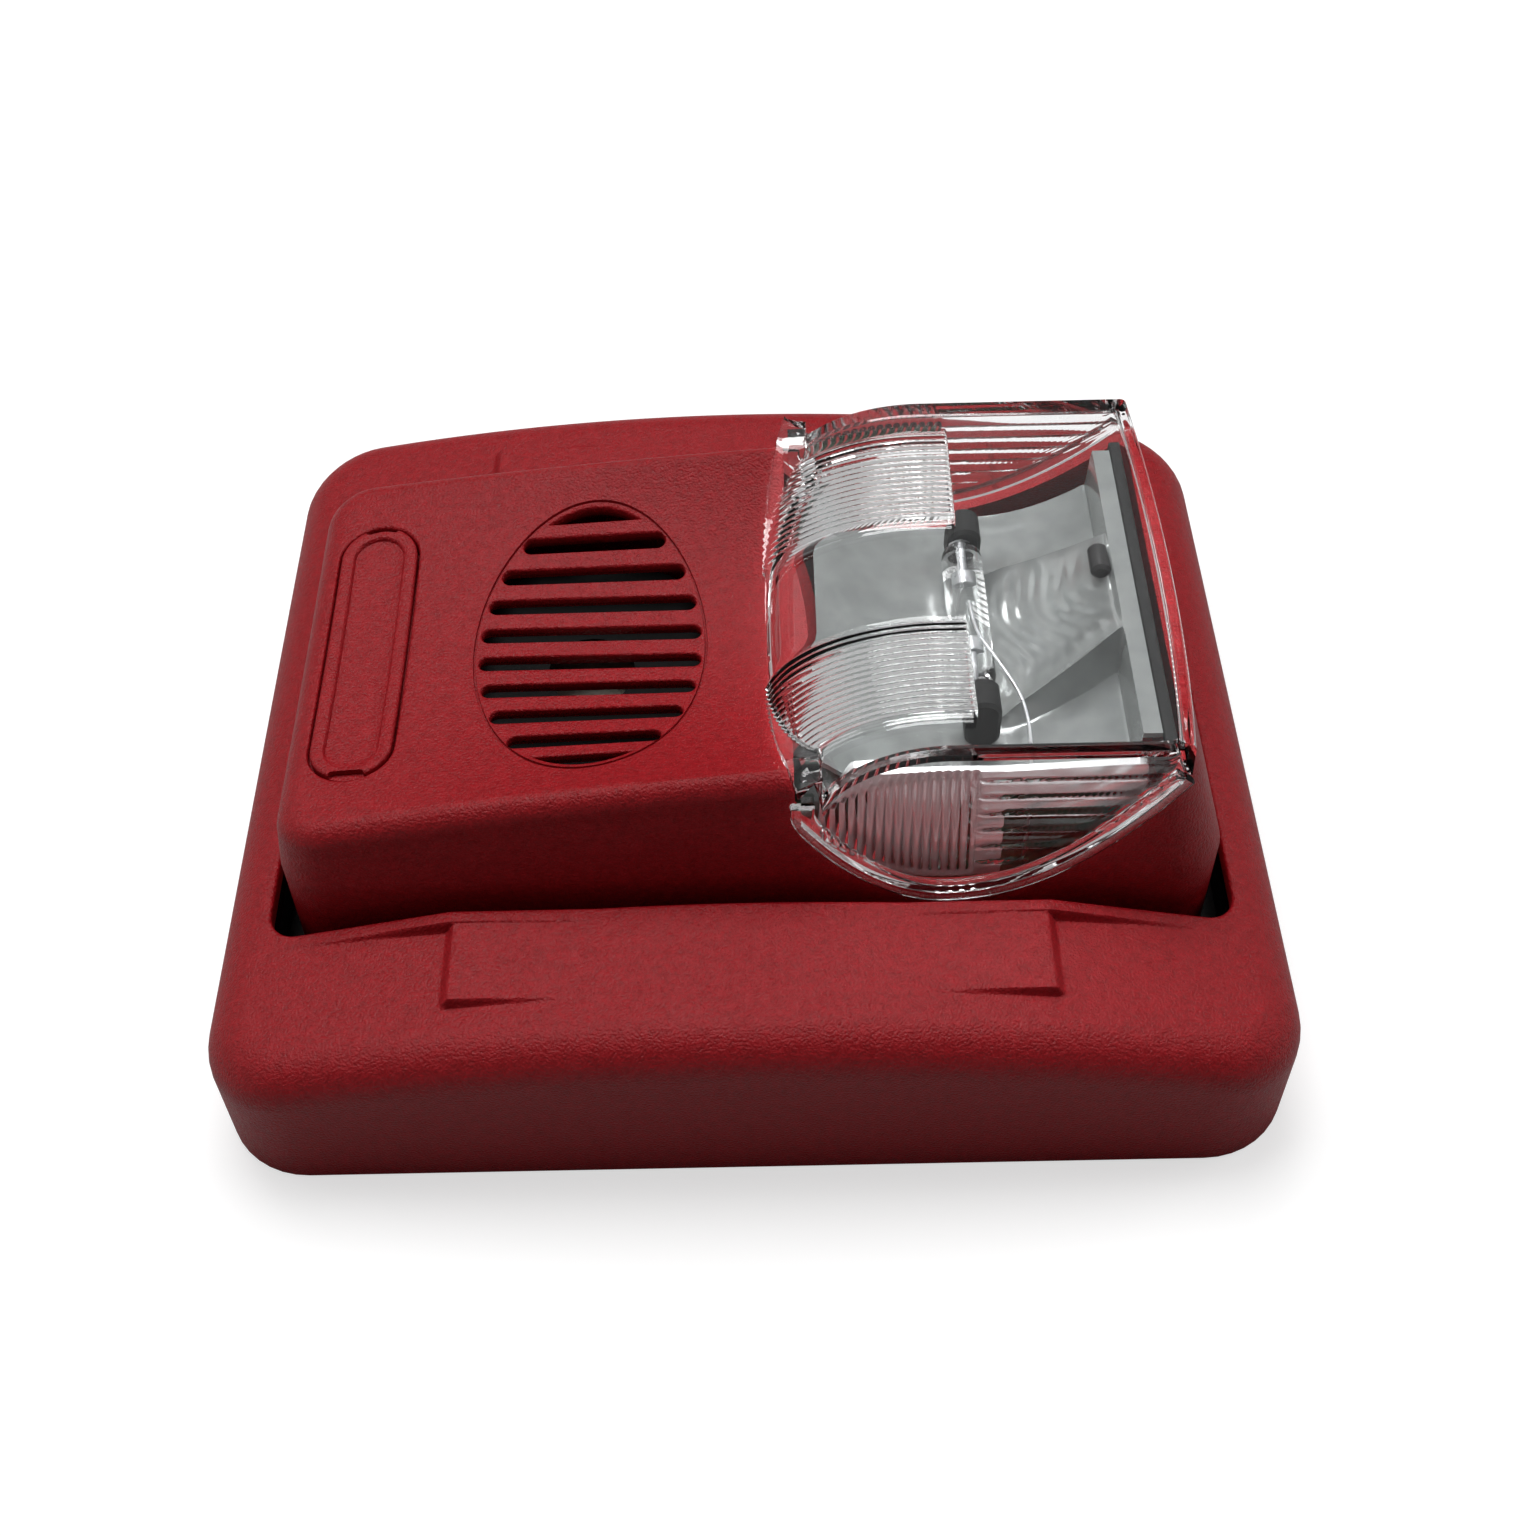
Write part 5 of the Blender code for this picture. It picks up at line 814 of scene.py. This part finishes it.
def makeVisor(lens, spec):
    # the outline carried across Y, with half-sine ribs in two blocks, over an inner sheet one wall below it
    half = lensHalf(lens["top"])
    inner, outer = lens["ribInner"] / half, lens["ribOuter"] / half
    ribs = lens["ribs"]
    right = runs((0, inner, 8), (inner, outer, ribs * 6), (outer, 1.0, 8))
    share = np.concatenate([-right[:0:-1], right])[None, :]
    outline, normal = lensProfile(lens)
    phase = (np.abs(share) - inner) / (outer - inner)
    inBlock = (phase >= -1e-9) & (phase <= 1 + 1e-9)
    lobe = np.abs(np.sin(np.pi * ribs * np.clip(phase, 0, 1)))
    started = smoothStep((outline[:, None, 1] - lens["ribLow"]) / lens["ribGrow"])
    started = started * smoothStep((lens["ribEnd"] - outline[:, None, 0]) / lens["ribStop"])
    height = inBlock * started * (lens["ribBase"] + lens["ribHeight"] * lobe)
    wide = np.broadcast_to(share, height.shape)
    sheet = visorSheet(lens, outline[:, None, :] + height[..., None] * normal[:, None, :], wide)
    raisedFront(sheet, lens, spec["gap"] + lens["borderLift"])
    endInside = lens["endX"] - lens["endWall"]
    innerLine = outline - lens["wall"] * normal
    innerLine[-1] = (endInside, lens["tip"] - lens["innerDrop"])
    innerLine[:, 0] = np.minimum(innerLine[:, 0], endInside)
    chain = np.abs(np.sin(np.pi * lens["endRibs"] * (share + 1) / 2)) * lens["endRibHeight"]
    atEnd = (innerLine[:, None, 0] > endInside - lens["endReach"]) & (np.abs(share) < lens["endRibShare"])
    innerGrid = np.broadcast_to(innerLine[:, None, :], (*height.shape, 2)).copy()
    innerGrid[..., 0] -= chain * atEnd
    below = visorSheet(lens, innerGrid, wide * (1 - lens["sideInset"] / half))
    raisedFront(below, lens, spec["gap"] + lens["seatLift"])
    sheet[-1, :, 2] = lens["tip"] - lens["tipDrop"]
    below[-1, :, 2] = np.minimum(below[-1, :, 2], lens["tip"] - lens["innerDrop"])
    foot = sheet[0].copy()
    foot[:, 2] = headTop(foot[:, 0], foot[:, 1]) + spec["gap"]
    top = np.concatenate([foot[None], sheet])
    under = np.concatenate([foot[None] + (lens["footWall"], 0, 0), below])
    ring = np.concatenate([top, under[:, ::-1]], 1).reshape(-1, 3)
    piece = newObject("lensVisor", ring, shellFaces(*top.shape[:2]), sharp=50.0)
    fit(piece, "lens", "head", "clear_plastic", "strobe_lens")
    return below


def makeSide(lens, side, below):
    # slab in the leaning side from the lower edge up to the visor's underside: upright half-sine ribs under
    # the curved front, then level ledges that are a sharpened cosine of the height
    edgeLine = below[:, 0 if side < 0 else -1]
    order = np.argsort(edgeLine[:, 0])
    ribStart, ribEnd = lens["sideRibStart"], lens["ribEnd"]
    x = runs((lens["legX"] + lens["sideStart"], ribStart, 8), (ribStart, ribEnd, lens["sideRibs"] * 8),
             (ribEnd, lens["endX"] - lens["sideStop"], 30))
    low = notchEdge(x, lens) + lens["sideGap"]
    visorLow = np.interp(x, edgeLine[order, 0], edgeLine[order, 2]) - lens["visorGap"]
    high = np.maximum(visorLow, low + lens["sideLeast"])
    bandLow, bandHigh, fade = lens["bandLow"], lens["bandHigh"], lens["bandFade"]
    level = runs((0, bandLow, 6), (bandLow, bandHigh, 80), (bandHigh, 1, 2))[None, :]
    z = low[:, None] + (high - low)[:, None] * level
    phase = (x - ribStart) / (ribEnd - ribStart)
    lobe = np.abs(np.sin(np.pi * lens["sideRibs"] * np.clip(phase, 0, 1)))
    mask = smoothStep((level - bandLow) / fade) * smoothStep((bandHigh - level) / fade)
    ledge = np.maximum(np.cos(2 * np.pi * (z - lens["ledgeLow"]) / lens["ledgePitch"]), 0.0) ** 6
    plain = smoothStep((x - ribEnd) / lens["ledgeFade"])[:, None] * lens["sideLedgeHeight"]
    base = lensHalf(z) - lens["sideSunk"]
    out = base + (lens["sideRibHeight"] * lobe[:, None] + plain * ledge) * mask
    along = np.broadcast_to(x[:, None], z.shape)
    face = np.stack([along, side * out, z], -1)
    back = np.stack([along, side * (base - lens["sideWall"]), z], -1)
    ring = np.concatenate([face, back[:, ::-1]], 1).reshape(-1, 3)
    name = "lensSideNear" if side < 0 else "lensSideFar"
    piece = newObject(name, ring, cappedFaces(z.shape[0], 2 * z.shape[1]), sharp=60.0)
    return fit(piece, "lens", "head", "clear_plastic", "strobe_lens")


def makeRim(rim, lens, side, spec):
    # flat band with round edges carried along the lower edge of the lens's side, leaning with the wall
    count = rim["riseSteps"]
    rise = np.column_stack([np.full(count, lens["legX"]), np.linspace(rim["riseTop"], rim["riseLow"], count)])
    x = runs((lens["legX"] + rim["start"], lens["endX"] - rim["stop"], 90))
    path = np.concatenate([rise, np.column_stack([x, notchEdge(x, lens)])])
    for turn in range(rim["smoothings"]):
        path[1:-1] = (path[:-2] + 2 * path[1:-1] + path[2:]) / 4
    section = roundedSection(rim["inside"], rim["outside"], spec["gap"], rim["proud"], rim["edge"], 5)
    flat = np.column_stack([path[:, 0], np.zeros(len(path)), path[:, 1]])
    points, faces = swept(flat, section, (0, -1, 0))
    points[:, 1] = side * (-points[:, 1] + wallLine(points[:, 2]))
    name = "lensRimNear" if side < 0 else "lensRimFar"
    return fit(newObject(name, points, faces, sharp=50.0), "lens", "head", "clear_plastic", "strobe_lens")


visorUnder = makeVisor(lensSpec, headSpec)
for side in (-1, 1):
    makeSide(lensSpec, side, visorUnder)
    makeRim(rimSpec, lensSpec, side, headSpec)
print("lens made")

# reflector and flash tube
mirrorSpec = dict(startX=10.0, endX=51.6, halfY=25.6, floor=33.0, frontRise=7.0, bankSide=2.0, frontEnd=26.0,
                  ridgeY=13.5, ridgeDraw=5.0, backStart=32.5, backEnd=48.5, ridgeLow=34.0, ridgeRise=12.4,
                  dishRise=11.0, outerRise=6.0, wallReach=1.6, skin=0.9, stripStart=49.0, stripHigh=45.6,
                  stripSlope=0.4, ripple=0.05, ripplePitch=1.7, rippleSlant=0.25, rippleSway=1.1,
                  swayPitch=2.6, rippleFade=3.0)


def backShare(x, spec):
    # 0 at the tube, 1 at the back of the dish
    return np.clip((x - spec["backStart"]) / (spec["backEnd"] - spec["backStart"]), 0.0, 1.0)


def ridgeLine(x, spec):
    # distance of the two ridges from the middle, which draw together towards the back
    return spec["ridgeY"] - spec["ridgeDraw"] * backShare(x, spec)


def mirrorHeight(x, y, spec):
    # a bank before the tube; behind it a dish between two sharp ridges, and a lower dish beyond each ridge;
    # the dish has a sine ripple, and a level strip ends it
    front = np.clip((spec["frontEnd"] - x) / (spec["frontEnd"] - spec["startX"]), 0.0, 1.0)
    back = backShare(x, spec)
    away = np.abs(y)
    begun = smoothStep(back * 4)
    ridge = spec["floor"] + (spec["ridgeLow"] - spec["floor"]) * begun + spec["ridgeRise"] * back**1.2
    dish = spec["floor"] + spec["dishRise"] * back**2.2
    outer = spec["floor"] + spec["outerRise"] * back**2
    crest = ridgeLine(x, spec)
    inside = np.clip(away / crest, 0.0, 1.0) ** 2.4
    beyond = np.clip((away - crest) / spec["wallReach"], 0.0, 1.0) ** 0.6
    bank = spec["frontRise"] * front**2 + spec["bankSide"] * front * (away / spec["halfY"]) ** 2
    height = np.where(away < crest, dish + (ridge - dish) * inside, ridge + (outer - ridge) * beyond) + bank
    sway = spec["rippleSlant"] * y + spec["rippleSway"] * np.sin(y / spec["swayPitch"])
    wave = np.sin(2 * np.pi * (x + sway) / spec["ripplePitch"])
    height = height + spec["ripple"] * wave * begun * smoothStep((crest - away) / spec["rippleFade"])
    level = smoothStep((x - spec["stripStart"]) / spec["stripSlope"] + 0.5)
    return height + (spec["stripHigh"] - height) * level


def makeMirror(spec):
    # the height over a grid whose columns crowd at the ridges, and a sheet one skin below it
    stripLow, stripHigh = spec["stripStart"] - spec["stripSlope"], spec["stripStart"] + spec["stripSlope"]
    x = runs((spec["startX"], stripLow, 240), (stripLow, stripHigh, 8), (stripHigh, spec["endX"], 4))
    share = runs((0, 0.99, 44), (0.99, 1.0, 2), (1.0, 1.12, 14), (1.12, 2.0, 20))
    share = np.concatenate([-share[:0:-1], share])
    gridX, gridShare = np.meshgrid(x, share, indexing="ij")
    crest = ridgeLine(gridX, spec)
    reach = np.abs(gridShare)
    away = np.where(reach < 1, reach * crest, crest + (reach - 1) * (spec["halfY"] - crest))
    gridY = np.sign(gridShare) * away
    top = np.stack([gridX, gridY, mirrorHeight(gridX, gridY, spec)], -1)
    low = top - (0, 0, spec["skin"])
    ring = np.concatenate([top, low[:, ::-1]], 1).reshape(-1, 3)
    piece = newObject("reflectorSkin", ring, shellFaces(*gridX.shape), sharp=50.0)
    return fit(piece, "mirror", "head", "mirror_film", "reflector")


panelSpec = dict(startX=8.5, stepX=32.5, endX=50.0, y=-29.4, lean=0.15, thick=1.0, low=24.5, high=42.5,
                 stepLow=36.0, stepHigh=43.4, edge=0.4, bevelX=5.0, bevelZ=8.0)


def makePanel(spec):
    # flange on the reflector's near side: a leaning plate with a stepped end, its corners cut three times
    start, step, end = spec["startX"], spec["stepX"], spec["endX"]
    outline = np.array([(start, spec["low"]), (step, spec["low"]), (step, spec["stepLow"]),
                        (end, spec["stepLow"]), (end, spec["stepHigh"]), (step, spec["high"]),
                        (start + spec["bevelX"], spec["high"]), (start, spec["low"] + spec["bevelZ"])])
    for turn in range(3):
        after = np.roll(outline, -1, 0)
        reach = np.minimum(0.25, spec["edge"] / np.linalg.norm(after - outline, axis=1))[:, None]
        cut = reach * (after - outline)
        outline = np.stack([outline + cut, after - cut], 1).reshape(-1, 2)
    y = spec["y"] + spec["lean"] * (outline[:, 1] - spec["low"])
    rows = [np.column_stack([outline[:, 0], y + across, outline[:, 1]])
            for across in (-spec["thick"] / 2, spec["thick"] / 2)]
    piece = newObject("reflectorFlange", np.concatenate(rows), cappedFaces(2, len(outline)))
    return fit(piece, "chrome", "head", "mirror_film", "reflector")


endStripSpec = dict(x=52.45, z=45.2, halfY=27.0, halfTall=0.6, halfWide=0.8, edge=0.3)


def makeEndStrip(spec):
    # dark strip with round edges under the lens's end, straight across; it darkens the gap there, partly as
    # painted shade
    path = np.column_stack([np.full(30, spec["x"]), np.linspace(-spec["halfY"], spec["halfY"], 30),
                            np.full(30, spec["z"])])
    tall, wide = spec["halfTall"], spec["halfWide"]
    points, faces = swept(path, roundedSection(-tall, tall, -wide, wide, spec["edge"], 4), (1, 0, 0))
    return fit(newObject("lensEndStrip", points, faces), "rubber", "head", "black_rubber")


catchSpec = dict(centre=(47.7, 5.2, 44.6), half=2.4, shoulder=1.9, radius=1.35, endRadius=0.9)


def makeClip(spec):
    # small rounded catch at the back of the dish: a bevelled profile turned about Y
    right = np.array([(spec["shoulder"], spec["radius"]), (spec["half"], spec["endRadius"]),
                      (spec["half"], 0.0)])
    profile = np.concatenate([right[::-1] * (-1, 1), right])
    points, faces = turned(profile, spec["centre"], (0, 1, 0), 20)
    return fit(newObject("reflectorCatch", points, faces, weld=0.001), "black", "head", "black_plastic")


holderSpec = dict(width=4.6, shift=0.6, edge=0.5)


def makeHolder(spec, end):
    # upright obround plate with softened edges, as deep and as tall as the solid that it stands for
    low, high = (np.array(corner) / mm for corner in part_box("tube_grommet_" + end))
    middle = (low + high) / 2
    tall, deep = (high - low)[2] / 2, (high - low)[1] / 2
    edge = spec["edge"]
    rows = []
    for y, grow in ((-deep, -edge), (-deep + edge, 0.0), (deep - edge, 0.0), (deep, -edge)):
        flat = obround(0.0, 0.0, tall, spec["width"] / 2, grow, 13)
        x = middle[0] + spec["shift"] + flat[:, 1]
        rows.append(np.column_stack([x, np.full(len(flat), middle[1] + y), middle[2] + flat[:, 0]]))
    faces = cappedFaces(len(rows), len(rows[0]))
    piece = newObject("tubeHolder" + end.capitalize(), np.concatenate(rows), faces)
    return fit(piece, "rubber", "head", "black_rubber", "tube_grommet_" + end)


tubeSpec = dict(centre=(30.0, 0.0, 39.6), half=12.5, radius=2.8, dome=2.0,
                electrode=((4.6, 0.0), (4.6, 0.7), (4.9, 0.95), (7.2, 0.95), (7.4, 0.7), (7.4, 0.35),
                           (12.2, 0.35), (12.2, 0.0)))


def makeTube(spec):
    # glass tube with domed ends turned about Y, and two electrodes inside it
    angle = np.linspace(math.pi / 2, 0, 9)
    radius = spec["radius"] * np.sqrt(np.maximum(np.cos(angle), 0.0))
    radius[0] = 0.0
    dome = np.column_stack([-spec["half"] + spec["dome"] * (1 - np.sin(angle)), radius])
    profile = np.concatenate([dome, dome[::-1] * (-1, 1)])
    points, faces = turned(profile, spec["centre"], (0, 1, 0), 40)
    fit(newObject("flashTube", points, faces, weld=0.001), "tube", "head", "tube_glass", "flash_tube")
    for end, name in ((-1, "electrodeNear"), (1, "electrodeFar")):
        points, faces = turned(spec["electrode"], spec["centre"], (0, end, 0), 24)
        fit(newObject(name, points, faces, weld=0.001), "steel", "head", "zinc_steel")


wireSpec = dict(radius=0.24, cuts=4,
                route=((30.0, 0.0, 42.7), (30.4, -5.5, 42.7), (33.0, -11.0, 42.9), (36.0, -18.0, 42.3),
                       (36.0, -26.4, 38.6), (36.0, -26.6, 30.0), (36.0, -26.6, 14.2)))


def makeWire(spec):
    # round wire along a smoothed route: each corner is cut several times
    route = np.array(spec["route"])
    for turn in range(spec["cuts"]):
        quarter = 0.75 * route[:-1] + 0.25 * route[1:]
        beyond = 0.25 * route[:-1] + 0.75 * route[1:]
        route = np.concatenate([route[:1], np.stack([quarter, beyond], 1).reshape(-1, 3), route[-1:]])
    angle = np.linspace(0, 2 * math.pi, 10, endpoint=False)
    section = spec["radius"] * np.column_stack([np.cos(angle), np.sin(angle)])
    points, faces = swept(route, section, (1, 0, 0))
    return fit(newObject("triggerWire", points, faces), "steel", "head", "zinc_steel", "trigger_wire")


makeWire(wireSpec)
makeMirror(mirrorSpec)
makePanel(panelSpec)
makeEndStrip(endStripSpec)
makeClip(catchSpec)
makeTube(tubeSpec)
for end in ("near", "far"):
    makeHolder(holderSpec, end)
print("reflector and tube made")
